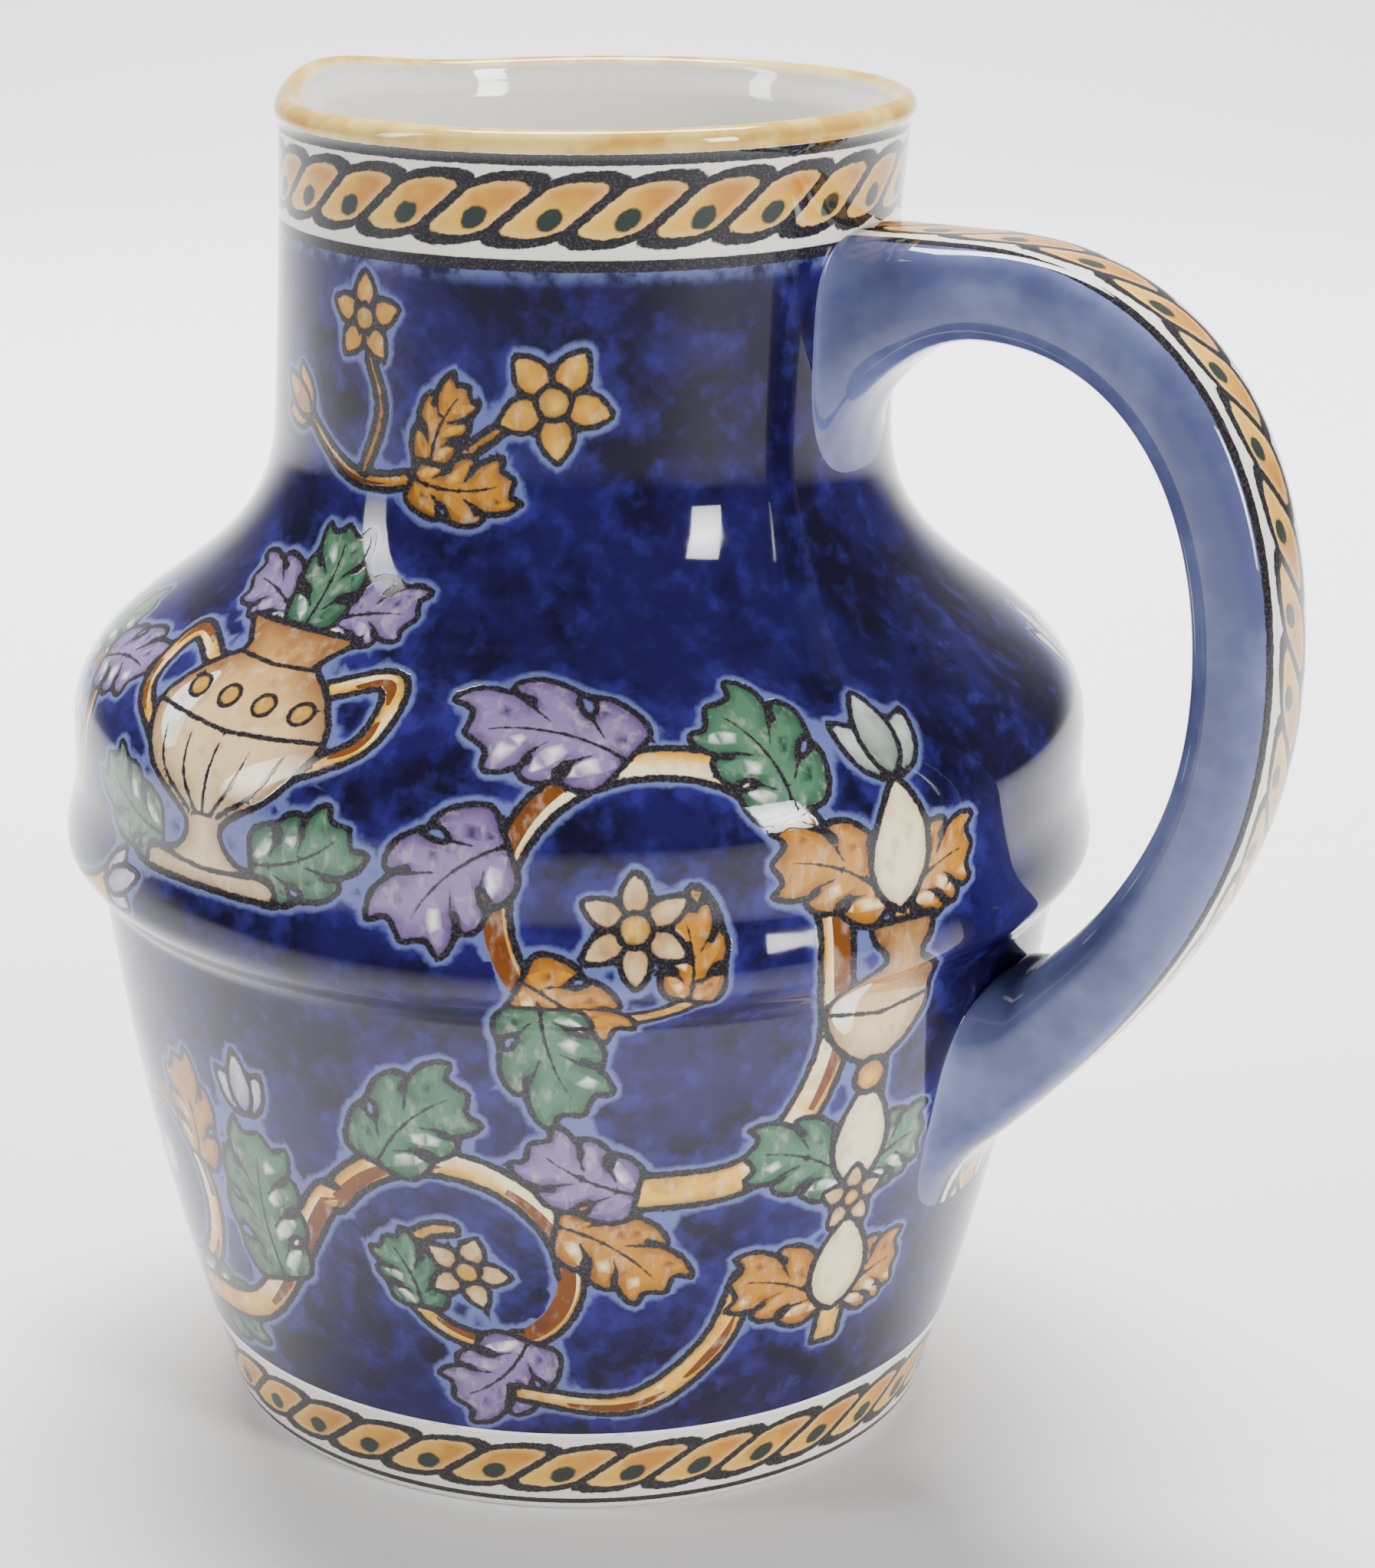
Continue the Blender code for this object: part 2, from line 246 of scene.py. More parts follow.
def place(turn, length):
    """Where a point of the turned wall is, in mm, for arrays of turn and profile length."""
    radius = np.interp(length, section_length, section[:, 0])
    height = np.interp(length, section_length, section[:, 1])
    share = shaped_share(height)
    off_lip = np.pi - np.abs(np.arctan2(np.sin(turn), np.cos(turn)))
    beak = np.exp(-(off_lip / SPOUT_HALF_ANGLE) ** 2)
    radius = radius + share * SPOUT_REACH * beak
    return np.stack([radius * np.cos(turn) + share * RIM_SHIFT, radius * np.sin(turn),
                     height + share * (SPOUT_RISE * beak + RIM_TILT * np.cos(turn))], -1)


def facing(turn, length, reach=0.12):
    """Outward normals of the turned wall."""
    around = place(turn + reach / 30, length) - place(turn - reach / 30, length)
    along = place(turn, length + reach) - place(turn, length - reach)
    normal = np.cross(around, along)
    size = np.linalg.norm(normal, axis=-1, keepdims=True)
    flat = np.where(length[..., None] < 0, (0.0, 0.0, -1.0), (0.0, 0.0, 1.0))
    return np.where(size > 1e-9, normal / np.maximum(size, 1e-12), flat)


print("Rim at the beak:", place(np.array([math.pi]), np.array([RIM_PROFILE])).round(1).tolist()[0])

# %% [markdown]
# The decoration is drawn before it is wrapped. Each motif has an anchor on the wall, and its
# shape is given in real millimetres about that anchor, so a circle stays round on any part of
# the pot. The drawing tools only collect outlines: closed shapes with their colours, and open
# ink lines. The scrollwork is a generic one in the manner of old painted earthenware.

# %% Drawing tools
OUTLINE_STEP = 0.6
INK = 0.33  # half width of a painted outline, in mm
drawing = []  # shapes and ink lines in the order in which they are painted


def paint(red, green, blue):
    """A colour given in display values, as the shader needs it."""
    return tuple(v / 12.92 if v <= 0.04045 else ((v + 0.055) / 1.055) ** 2.4
                 for v in (red, green, blue))


OCHRE = paint(0.74, 0.50, 0.14)
GOLD = paint(0.92, 0.71, 0.28)
SIENNA = paint(0.45, 0.25, 0.09)
BROWN = paint(0.34, 0.20, 0.09)
CREAM = paint(0.96, 0.90, 0.72)
WHITE = paint(0.94, 0.94, 0.91)
GREEN = paint(0.11, 0.24, 0.18)
PALE_GREEN = paint(0.30, 0.46, 0.35)
MAUVE = paint(0.26, 0.19, 0.35)
PALE_MAUVE = paint(0.52, 0.44, 0.62)


class Anchor:
    """A point on the wall, with the side of the jug that a motif is drawn on."""

    def __init__(self, turn_degrees, height, side=-1, lean=0.0):
        self.turn = math.radians(turn_degrees)
        self.length = profile_at_height(height)
        self.side = side
        self.lean = math.radians(lean)

    def wrap(self, points):
        """Millimetres about the anchor become turn and profile length."""
        x = points[:, 0] * math.cos(self.lean) - points[:, 1] * math.sin(self.lean)
        y = points[:, 0] * math.sin(self.lean) + points[:, 1] * math.cos(self.lean)
        length = self.length + y
        radius = np.interp(length, section_length, section[:, 0])
        return np.stack([-self.side * (self.turn + x / radius), length], 1)

    def unwrap(self, spots):
        """Turn and profile length become millimetres about the anchor again."""
        radius = np.interp(spots[:, 1], section_length, section[:, 0])
        x = (-self.side * spots[:, 0] - self.turn) * radius
        y = spots[:, 1] - self.length
        return np.stack([x * math.cos(self.lean) + y * math.sin(self.lean),
                         y * math.cos(self.lean) - x * math.sin(self.lean)], 1)


def smooth(knots, steps=12):
    """A smooth line through a few knots."""
    p = np.array(knots, float)
    p = np.concatenate([[2 * p[0] - p[1]], p, [2 * p[-1] - p[-2]]])
    t = np.linspace(0, 1, steps, endpoint=False)[:, None]
    runs = [0.5 * (2 * b + (c - a) * t + (2 * a - 5 * b + 4 * c - d) * t ** 2
                   + (3 * b - a - 3 * c + d) * t ** 3) for a, b, c, d in zip(p, p[1:], p[2:], p[3:])]
    return np.concatenate(runs + [p[-2:-1]])


def spiral(centre, start, end, wide, narrow, steps=70):
    """A scroll line round a centre, from one angle and radius to another, in degrees and mm."""
    share = np.linspace(0, 1, steps)
    angle = np.radians(start + (end - start) * share)
    radius = wide + (narrow - wide) * share ** 0.8
    return np.array(centre) + np.stack([radius * np.cos(angle), radius * np.sin(angle)], 1)


def turned_by(points, degrees):
    """Points turned about the motif's own origin."""
    a = math.radians(degrees)
    spin = np.array([[math.cos(a), math.sin(a)], [-math.sin(a), math.cos(a)]])
    return np.asarray(points, float) @ spin


def shape(anchor, points, edge, heart, tip=None, axis=None, reach=1.0, ink=INK):
    """A closed painted shape: dark at its edge, light at its heart, and turning to tip along axis."""
    closed = np.concatenate([points, points[:1]])
    path, _ = resample(closed, OUTLINE_STEP)
    path = path[:-1]
    if len(path) < 5:
        return
    drawing.append({"path": anchor.wrap(path), "closed": True, "inked": ink is not None,
                    "half": np.full(len(path), ink or 0.0),
                    "local": path, "anchor": anchor, "edge": edge, "heart": heart, "tip": tip,
                    "axis": axis, "reach": reach})


def line(anchor, points, width=0.17, fade=True):
    """An open ink line that thins out towards its end."""
    path, _ = resample(np.asarray(points, float), OUTLINE_STEP)
    share = np.linspace(0, 1, len(path))
    half = width * (1 - 0.75 * share ** 2) if fade else share * 0 + width
    drawing.append({"path": anchor.wrap(path), "closed": False, "inked": True, "half": half})


def ribbon(points, start_width, end_width, swell=0.0):
    """The outline of a brush stroke along a line, round at its far end."""
    points, length = resample(np.asarray(points, float), 0.4)
    run = np.gradient(points, axis=0)
    run /= np.linalg.norm(run, axis=1)[:, None]
    side = np.stack([-run[:, 1], run[:, 0]], 1)
    share = length / length[-1]
    half = (start_width + (end_width - start_width) * share + swell * np.sin(np.pi * share)) / 2
    cap = [points[-1] + half[-1] * (math.cos(a) * side[-1] + math.sin(a) * run[-1])
           for a in np.linspace(0, math.pi, 6)[1:-1]]
    return np.concatenate([points + side * half[:, None], cap, (points - side * half[:, None])[::-1]])


def touch(anchor, points, width, colour, under):
    """A highlight or shadow laid inside a painted shape, without an outline of its own."""
    shape(anchor, ribbon(points, 0.5 * width, 0.3 * width, width), under, colour, reach=0.25, ink=None)


def stem(anchor, points, start_width=3.0, end_width=1.3, edge=SIENNA, heart=GOLD, swell=0.4):
    """A scroll's stalk, with a light along one side of it."""
    points, length = resample(np.asarray(points, float), 0.5)
    shape(anchor, ribbon(points, start_width, end_width, swell), edge, heart, reach=0.8)
    run = np.gradient(points, axis=0)
    run /= np.linalg.norm(run, axis=1)[:, None]
    half = (start_width + (end_width - start_width) * length / length[-1]) / 2
    off = np.stack([-run[:, 1], run[:, 0]], 1) * (0.36 * half)[:, None]
    n = len(points)
    for low, high, hand, colour, under in (
            (0.06, 0.36, 1, CREAM, heart), (0.42, 0.72, 1, CREAM, heart),
            (0.16, 0.50, -1, SIENNA, edge), (0.56, 0.86, -1, SIENNA, edge)):
        if (high - low) * n > 10:
            stroke = (points + hand * off)[int(low * n):int(high * n)]
            touch(anchor, stroke, 0.36 * start_width, colour, under)


def leaf(anchor, root, angle, size, width, lobes=3, bend=35.0, colours=(GREEN, PALE_GREEN, WHITE)):
    """An acanthus leaf: a bent midrib with a few broad hooked lobes on both sides of it."""
    share = np.linspace(0, 1, 30)
    heading = np.radians(angle + bend * share)
    rib = np.array(root) + np.cumsum(np.stack([np.cos(heading), np.sin(heading)], 1), 0) * size / 30
    across = np.stack([-np.sin(heading), np.cos(heading)], 1)

    def at(t, out):
        point = [np.interp(t, share, rib[:, i]) for i in range(2)]
        way = [np.interp(t, share, across[:, i]) for i in range(2)]
        return np.array(point) + np.array(way) * out

    def spread(t):
        return width * (0.42 + 0.58 * math.sin(math.pi * min(1.0, 0.20 + 0.78 * t)))

    edges = []
    for side in (1, -1):
        knots = [at(0.0, side * 0.16 * width)]
        for k in range(lobes):
            low, high = k / (lobes + 0.4), (k + 1) / (lobes + 0.4)
            wide = spread(0.5 * (low + high))
            knots += [at(low + 0.02, side * 0.78 * wide), at(high - 0.06, side * 1.02 * wide),
                      at(high + 0.10, side * 0.86 * wide), at(high + 0.02, side * 0.50 * wide)]
        edges.append(smooth(knots + [at(1.06, 0.0)], 4))
    outline = np.concatenate([edges[0], edges[1][::-1][1:]])
    shape(anchor, outline, colours[0], colours[1], tip=colours[1], axis=(root, rib[-1]), reach=1.6,
          ink=INK * 0.85)
    for k in range(lobes):
        low, high = k / (lobes + 0.4), (k + 1) / (lobes + 0.4)
        middle = 0.5 * (low + high)
        wide = spread(middle)
        for side in (1, -1):
            fold = smooth([at(low + 0.04, side * 0.16 * wide), at(middle + 0.02, side * 0.46 * wide),
                           at(high, side * 0.82 * wide)], 5)
            lit = (side == 1) == (bend > 0)
            touch(anchor, fold, 0.22 * width, colours[2] if lit else colours[0], colours[1])
    line(anchor, rib[:26], 0.17)
    for k in range(1, lobes):
        notch = k / (lobes + 0.4)
        for side in (1, -1):
            vein = [at(notch + 0.02, side * 0.50 * spread(notch)), at(notch - 0.12, side * 0.14 * width)]
            line(anchor, vein, 0.13)


def petal(anchor, root, angle, size, width, edge=SIENNA, heart=GOLD, tip=None, ink=INK):
    """A pointed oval petal."""
    t = np.linspace(0, 1, 14)
    half = width / 2 * np.sin(np.pi * t ** 0.8) ** 0.8
    upper = np.stack([t * size, half], 1)
    lower = np.stack([t * size, -half], 1)[::-1][1:-1]
    points = turned_by(np.concatenate([upper, lower]), angle) + np.array(root)
    shape(anchor, points, edge, heart, tip, (points[0], points[13]), reach=0.8, ink=ink)


def ball(anchor, centre, radius, edge=SIENNA, heart=GOLD, ink=INK):
    """A round berry or bead."""
    a = np.linspace(0, 2 * np.pi, 24, endpoint=False)
    shape(anchor, np.array(centre) + radius * np.stack([np.cos(a), np.sin(a)], 1), edge, heart,
          reach=0.7 * radius, ink=ink)


def rosette(anchor, centre, radius, petals=5, start=90.0, colours=(SIENNA, OCHRE, CREAM)):
    """An open flower seen from the front."""
    for k in range(petals):
        angle = start + 360 * k / petals
        root = np.array(centre) + 0.18 * radius * np.array([math.cos(math.radians(angle)),
                                                           math.sin(math.radians(angle))])
        petal(anchor, root, angle, 0.84 * radius, 0.98 * radius * math.pi / petals, colours[0],
              colours[1], colours[2], ink=INK * 0.8)
    ball(anchor, centre, 0.30 * radius, BROWN, GOLD, ink=INK * 0.8)


def husk(anchor, root, angle, size, colours=(SIENNA, OCHRE, CREAM)):
    """A bell-shaped husk: two side petals behind a middle one."""
    for off in (34, -34):
        petal(anchor, root, angle + off, 0.82 * size, 0.42 * size, *colours, ink=INK * 0.85)
    petal(anchor, root, angle, size, 0.44 * size, *colours, ink=INK * 0.85)


def turned_outline(knots):
    """A closed shape that is the same on both sides of its middle, from (height, half width)."""
    right = smooth([(width, height) for height, width in knots], 6)
    return np.concatenate([right, right[::-1] * (-1, 1)])


# %% [markdown]
# Two broad bands carry the scrollwork. Round the lower wall runs a wave of stalks that curl
# into spirals. Above the ridge an urn full of leaves stands beside one great scroll that crosses the
# ridge, and a tall stack of leaves rises beside the handle. Both long sides carry the same
# drawing, mirrored.

# %% Motifs
GREENS = (GREEN, PALE_GREEN, WHITE)
MAUVES = (MAUVE, PALE_MAUVE, WHITE)
OCHRES = (SIENNA, OCHRE, CREAM)
BROWNS = (BROWN, OCHRE, GOLD)


def volute(anchor, approach, centre, start, end, wide, narrow, width=3.0):
    """A stalk that comes along a few knots and curls up round a centre."""
    curl = spiral(centre, start, end, wide, narrow)
    stem(anchor, np.concatenate([smooth(list(approach) + [curl[0]], 12)[:-1], curl]), width, 1.3)
    return curl


def on_curl(curl, share, off, hand):
    """A root on a spiral and a heading that leaves it at an angle, to its left or its right."""
    k = int(share * (len(curl) - 2))
    run = curl[k + 1] - curl[k]
    return curl[k], math.degrees(math.atan2(run[1], run[0])) + hand * off


def leaves_on(anchor, curl, leaves):
    """Leaves along a spiral: place on it, angle off it, hand, size, width, bend and colours of each."""
    for share, off, hand, size, width, bend, colours in leaves:
        root, heading = on_curl(curl, share, off, hand)
        leaf(anchor, root, heading, size, width, 3, -hand * bend, colours)


def great_scroll(side):
    """The scroll between urn and handle, which crosses the ridge."""
    anchor = Anchor(-57, 60.5, side)
    approach = [(2.0, -27.5), (13.0, -26.0), (19.6, -16.0)]
    curl = volute(anchor, approach, (2.0, -1.0), -16, 392, 18.0, 5.6, 3.4)
    leaves_on(anchor, curl, (
        (0.12, 30, -1, 13.5, 4.4, 46, GREENS), (0.27, 52, -1, 14.5, 5.0, 60, MAUVES),
        (0.40, 46, -1, 13.5, 4.8, 50, MAUVES), (0.55, 30, 1, 11.0, 3.8, 40, OCHRES),
        (0.60, 55, -1, 13.0, 4.4, 40, GREENS), (0.80, 28, 1, 8.5, 3.0, -40, OCHRES)))
    leaf(anchor, (3.0, -27.6), 168, 11.0, 3.8, 3, -34, MAUVES)
    rosette(anchor, (2.0, -1.0), 5.0, 6, 90)


def wave_band(side):
    """The lower wall's running scroll."""
    anchor = Anchor(-97, 28.5, side)
    approach = [(-41.5, -2.0), (-37.0, -9.5), (-30.0, -14.0)]
    curl = volute(anchor, approach, (-22.0, -2.0), -112, 262, 12.4, 4.4)
    leaves_on(anchor, curl, (
        (0.10, 48, -1, 12.0, 4.2, 44, GREENS), (0.36, 44, -1, 11.0, 4.0, 52, OCHRES),
        (0.56, 40, -1, 10.0, 3.6, 46, MAUVES)))
    ball(anchor, (-22.0, -2.0), 2.6, MAUVE, WHITE)
    husk(anchor, (-41.4, -3.2), 96, 6.4)
    approach = [(-20.0, -15.4), (-7.0, -12.0), (3.0, 2.0)]
    curl = volute(anchor, approach, (16.0, -2.6), 156, -262, 12.8, 4.4, 3.2)
    leaves_on(anchor, curl, (
        (0.08, 40, 1, 13.0, 4.4, 46, GREENS), (0.30, 50, 1, 12.0, 4.2, 50, OCHRES),
        (0.52, 44, 1, 11.5, 4.0, 48, MAUVES), (0.72, 34, -1, 8.0, 3.0, 40, GREENS)))
    rosette(anchor, (16.0, -2.6), 3.9, 5, 70)
    leaf(anchor, (-3.0, -8.5), 108, 16.0, 5.0, 4, -34, GREENS)
    husk(anchor, (-4.5, 8.6), 96, 6.4, MAUVES)
    stem(anchor, smooth([(18.0, -15.4), (28.0, -16.6), (36.0, -11.0), (40.0, -4.0)], 12), 1.6, 2.4)


def urn(side):
    """An urn standing on the ridge, with gadroons and three leaves in its mouth."""
    anchor = Anchor(-103, 58.6, side)
    for hand in (1, -1):
        leaf(anchor, (hand * 5.0, 3.4), 90 - hand * 88, 11.5, 3.8, 3, hand * 46, GREENS)
        leaf(anchor, (hand * 1.4, 25.5), 90 - hand * 50, 9.5, 3.4, 3, -hand * 48, MAUVES)
        grip = [(hand * 6.2, 19.4), (hand * 12.0, 21.6), (hand * 13.4, 15.4), (hand * 8.4, 11.6)]
        stem(anchor, smooth(grip, 10), 1.9, 1.4, swell=0.3)
    leaf(anchor, (0, 25.0), 90, 10.0, 3.6, 3, 1, GREENS)
    bowl = turned_outline([(0.2, 7.8), (1.9, 7.6), (3.0, 3.6), (5.0, 2.0), (6.6, 3.0), (9.6, 7.6),
                           (14.4, 10.0), (19.0, 7.4), (21.8, 4.4), (23.8, 5.6), (25.2, 6.6)])
    shape(anchor, bowl, *OCHRES, axis=((0, 22.0), (0, 5.0)), reach=3.6)
    touch(anchor, smooth([(-5.6, 11.0), (-7.0, 14.6), (-5.2, 18.6)], 8), 2.4, WHITE, CREAM)
    for x in (-5.4, -2.8, 0.0, 2.8, 5.4):
        line(anchor, smooth([(x * 0.32, 6.6), (x * 1.05, 9.6), (x * 1.35, 13.2)], 6), 0.22)
    for height, half in ((14.6, 9.8), (21.4, 4.6), (2.3, 6.8)):
        line(anchor, [(-half, height), (0, height - 0.08 * half), (half, height)], 0.24, False)
    for x in (-6.2, -2.1, 2.1, 6.2):
        ball(anchor, (x, 17.0), 1.15, BROWN, GOLD, ink=0.22)


def left_scroll(side):
    """The scroll on the urn's other side, towards the pouring lip."""
    anchor = Anchor(-138, 65.0, side)
    approach = [(15.0, -9.4), (11.0, -11.4), (6.0, -12.4)]
    curl = volute(anchor, approach, (0, 0), -72, -442, 11.6, 4.4)
    leaves_on(anchor, curl, (
        (0.06, 40, 1, 9.0, 3.4, 44, OCHRES), (0.40, 40, 1, 10.5, 3.8, 54, GREENS),
        (0.55, 44, 1, 11.0, 4.0, 46, MAUVES)))
    rosette(anchor, (0, 0), 4.2, 5, 90)
    husk(anchor, (14.0, -9.8), 22, 6.0, MAUVES)


def leaf_stack(side):
    """The candelabrum beside the handle: leaves and husks stacked on one stalk."""
    anchor = Anchor(-25, 17.5, side)
    stem(anchor, [(0, -2), (0.4, 20), (0, 50)], 2.8, 1.8)
    for height, size, spread, colours in ((2.0, 12.0, 4.4, OCHRES), (15.0, 12.5, 4.2, GREENS),
                                          (43.0, 13.5, 4.4, OCHRES)):
        for hand in (1, -1):
            reach = size * (0.66 if hand == 1 else 1.0)
            leaf(anchor, (hand * 0.6, height), 90 - hand * 40, reach, spread * 0.9, 3, -hand * 52, colours)
        petal(anchor, (0, height - 0.5), 90, size * 0.86, spread * 1.4, SIENNA, CREAM, CREAM)
    body = turned_outline([(27.0, 1.2), (28.8, 3.8), (32.2, 5.6), (36.6, 4.2), (38.6, 1.8), (40.2, 3.0),
                           (41.8, 3.4)])
    shape(anchor, body, *OCHRES, axis=((0, 37.0), (0, 27.0)), reach=2.8)
    touch(anchor, smooth([(-3.0, 30.4), (-3.8, 32.8), (-2.6, 36.0)], 8), 1.8, WHITE, CREAM)
    line(anchor, [(-5.4, 32.4), (0, 31.6), (5.4, 32.4)], 0.22, False)
    rosette(anchor, (0, 13.4), 3.4, 5)
    ball(anchor, (0, 25.6), 1.7)
    husk(anchor, (0, 54.0), 90, 8.4, GREENS)


def pendant():
    """Under the pouring lip: a palmette above the ridge and husks below it."""
    anchor = Anchor(180, 61.0, 1)
    for off, size in ((74, 8.0), (-74, 8.0), (48, 10.6), (-48, 10.6), (24, 13.0), (-24, 13.0), (0, 14.6)):
        petal(anchor, (0, 0), 90 + off, size, 4.2, *OCHRES)
    ball(anchor, (0, 0), 2.2)
    low = Anchor(180, 45.0, 1)
    for k in range(4):
        husk(low, (0, -7.8 * k), -90, 8.8 - 0.8 * k, GREENS if k % 2 else OCHRES)


def neck_sprig(side):
    """A loose flower spray on the neck."""
    anchor = Anchor(-92, 96.0, side)
    stem(anchor, smooth([(-13, -1.0), (-6, -5.4), (2, -4.2), (9, 0.6)], 12), 0.9, 1.0, BROWN, OCHRE, 0.4)
    stem(anchor, smooth([(-5, -5.2), (-3.0, 0.4), (-4.5, 5.0)], 10), 0.9, 0.8, BROWN, OCHRE, 0.2)
    rosette(anchor, (12.6, 2.4), 5.0, 5, 60, (SIENNA, OCHRE, GOLD))
    rosette(anchor, (-5.2, 8.0), 4.0, 5, 90, (SIENNA, OCHRE, GOLD))
    leaf(anchor, (0.0, -4.6), -20, 10.0, 2.9, 3, 46, BROWNS)
    leaf(anchor, (2.0, -3.6), 84, 8.0, 2.4, 3, -40, BROWNS)
    husk(anchor, (-12.4, -1.4), 150, 6.0, BROWNS)


for side in (-1, 1):
    wave_band(side)
    great_scroll(side)
    left_scroll(side)
    leaf_stack(side)
    urn(side)
    neck_sprig(side)
pendant()
drawn_turns = np.degrees(np.concatenate([item["path"][:, 0] for item in drawing]))
print("Drawing runs from", round(drawn_turns.min()), "to", round(drawn_turns.max()), "degrees")
shape_count = sum(item["closed"] for item in drawing)
print(shape_count, "painted shapes,", len(drawing) - shape_count, "ink lines")

# %% [markdown]
# The strap handle is lofted down two curves, its back and its belly, from rings that lie on
# the body. Between a ring and the first free section every line of the strap leaves the wall
# along the wall and arrives along the strap, which is the soft fillet of a sponged joint. The
# two rings become holes in the pattern sheet, so body and handle close into one skin.

# %% Handle
HANDLE_BELOW_RIM = 11.0
HANDLE_NECK_ROOT_TALL = 19.5
HANDLE_LOW_ROOT_HEIGHT = 26.9
HANDLE_LOW_ROOT_TALL = 17.4
HANDLE_BEND_HEIGHT = 76.5
HANDLE_ARCH_RISE = 1.8
CROWN_THICKENING = 0.6
FINGER_GAP = 12.8
HANDLE_DEPTH = 7.9
HANDLE_WIDTH = 11.2
BACK_TOP_PULL = 0.644
BACK_ARCH_PULL = 4.1
BACK_BEND_PULL_UP = 0.75
BACK_BEND_PULL_DOWN = 0.455
BACK_ROOT_PULL_OUT = 0.45
BACK_ROOT_PULL_UP = 0.263
CROWN_PLACE = 0.325
CROWN_PULL_IN = 0.151
CROWN_PULL_OUT = 0.324
FILLET_PULL_OUT = 0.049
FILLET_PULL_UP = 0.55
BELLY_BEND_PULL_UP = 0.545
BELLY_BEND_PULL_DOWN = 0.41
BELLY_ROOT_PULL_OUT = 0.65
BELLY_ROOT_PULL_UP = 0.28
SIDE_ROUNDNESS, BACK_ROUNDNESS, BELLY_ROUNDNESS = 0.62, 0.45, 0.72
RING_POINTS = 56
FREE_STATIONS = 84
FILLET_STATIONS = 12
NECK_JOINT = {"low": 90.0, "high": 110.7, "half": 7.6, "back_up": True}
LOW_JOINT = {"low": 25.2, "high": 47.0, "half": 9.4, "back_up": False}
NECK_FLARE, LOW_FLARE = 2.0, 4.2
NECK_FLARE_STATIONS, LOW_FLARE_STATIONS = 14, 26
FREE_FROM, FREE_TO = 0.085, 0.93
FILLET_LEAVE, FILLET_STAND, FILLET_BESIDE = 1.6, 1.2, 0.3

ring_turn = 2 * np.pi * (np.arange(RING_POINTS) + 0.5) / RING_POINTS
SIDEWAYS = np.sign(np.cos(ring_turn)) * np.abs(np.cos(ring_turn)) ** SIDE_ROUNDNESS
DEPTHWAYS = np.where(np.sin(ring_turn) > 0, np.abs(np.sin(ring_turn)) ** BACK_ROUNDNESS,
                     -np.abs(np.sin(ring_turn)) ** BELLY_ROUNDNESS)


def in_the_wall(height):
    """A curve of the strap ends in the middle of the wall on the handle's side."""
    where = place(np.array([0.0]), np.array([profile_at_height(height)]))[0]
    return np.array([where[0] - WALL / 2, height])


def strap_curves():
    """Back and belly of the strap in the (radius, height) plane, with matched stations."""
    top = HEIGHT - HANDLE_BELOW_RIM
    inner_bend = RIDGE_RADIUS + FINGER_GAP
    outer_bend = inner_bend + HANDLE_DEPTH
    neck_top, neck_low = in_the_wall(top), in_the_wall(top - HANDLE_NECK_ROOT_TALL)
    low_root = in_the_wall(HANDLE_LOW_ROOT_HEIGHT)
    low_top = in_the_wall(HANDLE_LOW_ROOT_HEIGHT + HANDLE_LOW_ROOT_TALL)
    reach = outer_bend - neck_top[0]
    upper, lower = top - HANDLE_BEND_HEIGHT, HANDLE_BEND_HEIGHT - HANDLE_LOW_ROOT_HEIGHT
    bend, inside_bend = (outer_bend, HANDLE_BEND_HEIGHT), (inner_bend, HANDLE_BEND_HEIGHT)
    back = np.concatenate([
        arc(neck_top, (neck_top[0] + BACK_TOP_PULL * reach, top + BACK_ARCH_PULL * HANDLE_ARCH_RISE),
            (outer_bend, HANDLE_BEND_HEIGHT + BACK_BEND_PULL_UP * upper), bend, 150),
        arc(bend, (outer_bend, HANDLE_BEND_HEIGHT - BACK_BEND_PULL_DOWN * lower),
            (low_root[0] + BACK_ROOT_PULL_OUT * (outer_bend - low_root[0]),
             low_root[1] + BACK_ROOT_PULL_UP * lower), low_root, 120)])
    crown = (neck_top[0] + CROWN_PLACE * reach, top + HANDLE_ARCH_RISE - HANDLE_DEPTH - CROWN_THICKENING)
    inner_upper, inner_lower = crown[1] - HANDLE_BEND_HEIGHT, HANDLE_BEND_HEIGHT - low_top[1]
    belly = np.concatenate([
        arc(neck_low, (neck_low[0] + FILLET_PULL_OUT * reach,
                       neck_low[1] + FILLET_PULL_UP * (crown[1] - neck_low[1])),
            (crown[0] - CROWN_PULL_IN * reach, crown[1]), crown, 40),
        arc(crown, (crown[0] + CROWN_PULL_OUT * reach, crown[1]),
            (inner_bend, HANDLE_BEND_HEIGHT + BELLY_BEND_PULL_UP * inner_upper), inside_bend, 110),
        arc(inside_bend, (inner_bend, HANDLE_BEND_HEIGHT - BELLY_BEND_PULL_DOWN * inner_lower),
            (low_top[0] + BELLY_ROOT_PULL_OUT * (inner_bend - low_top[0]),
             low_top[1] + BELLY_ROOT_PULL_UP * inner_lower), low_top, 120)])
    return back, belly


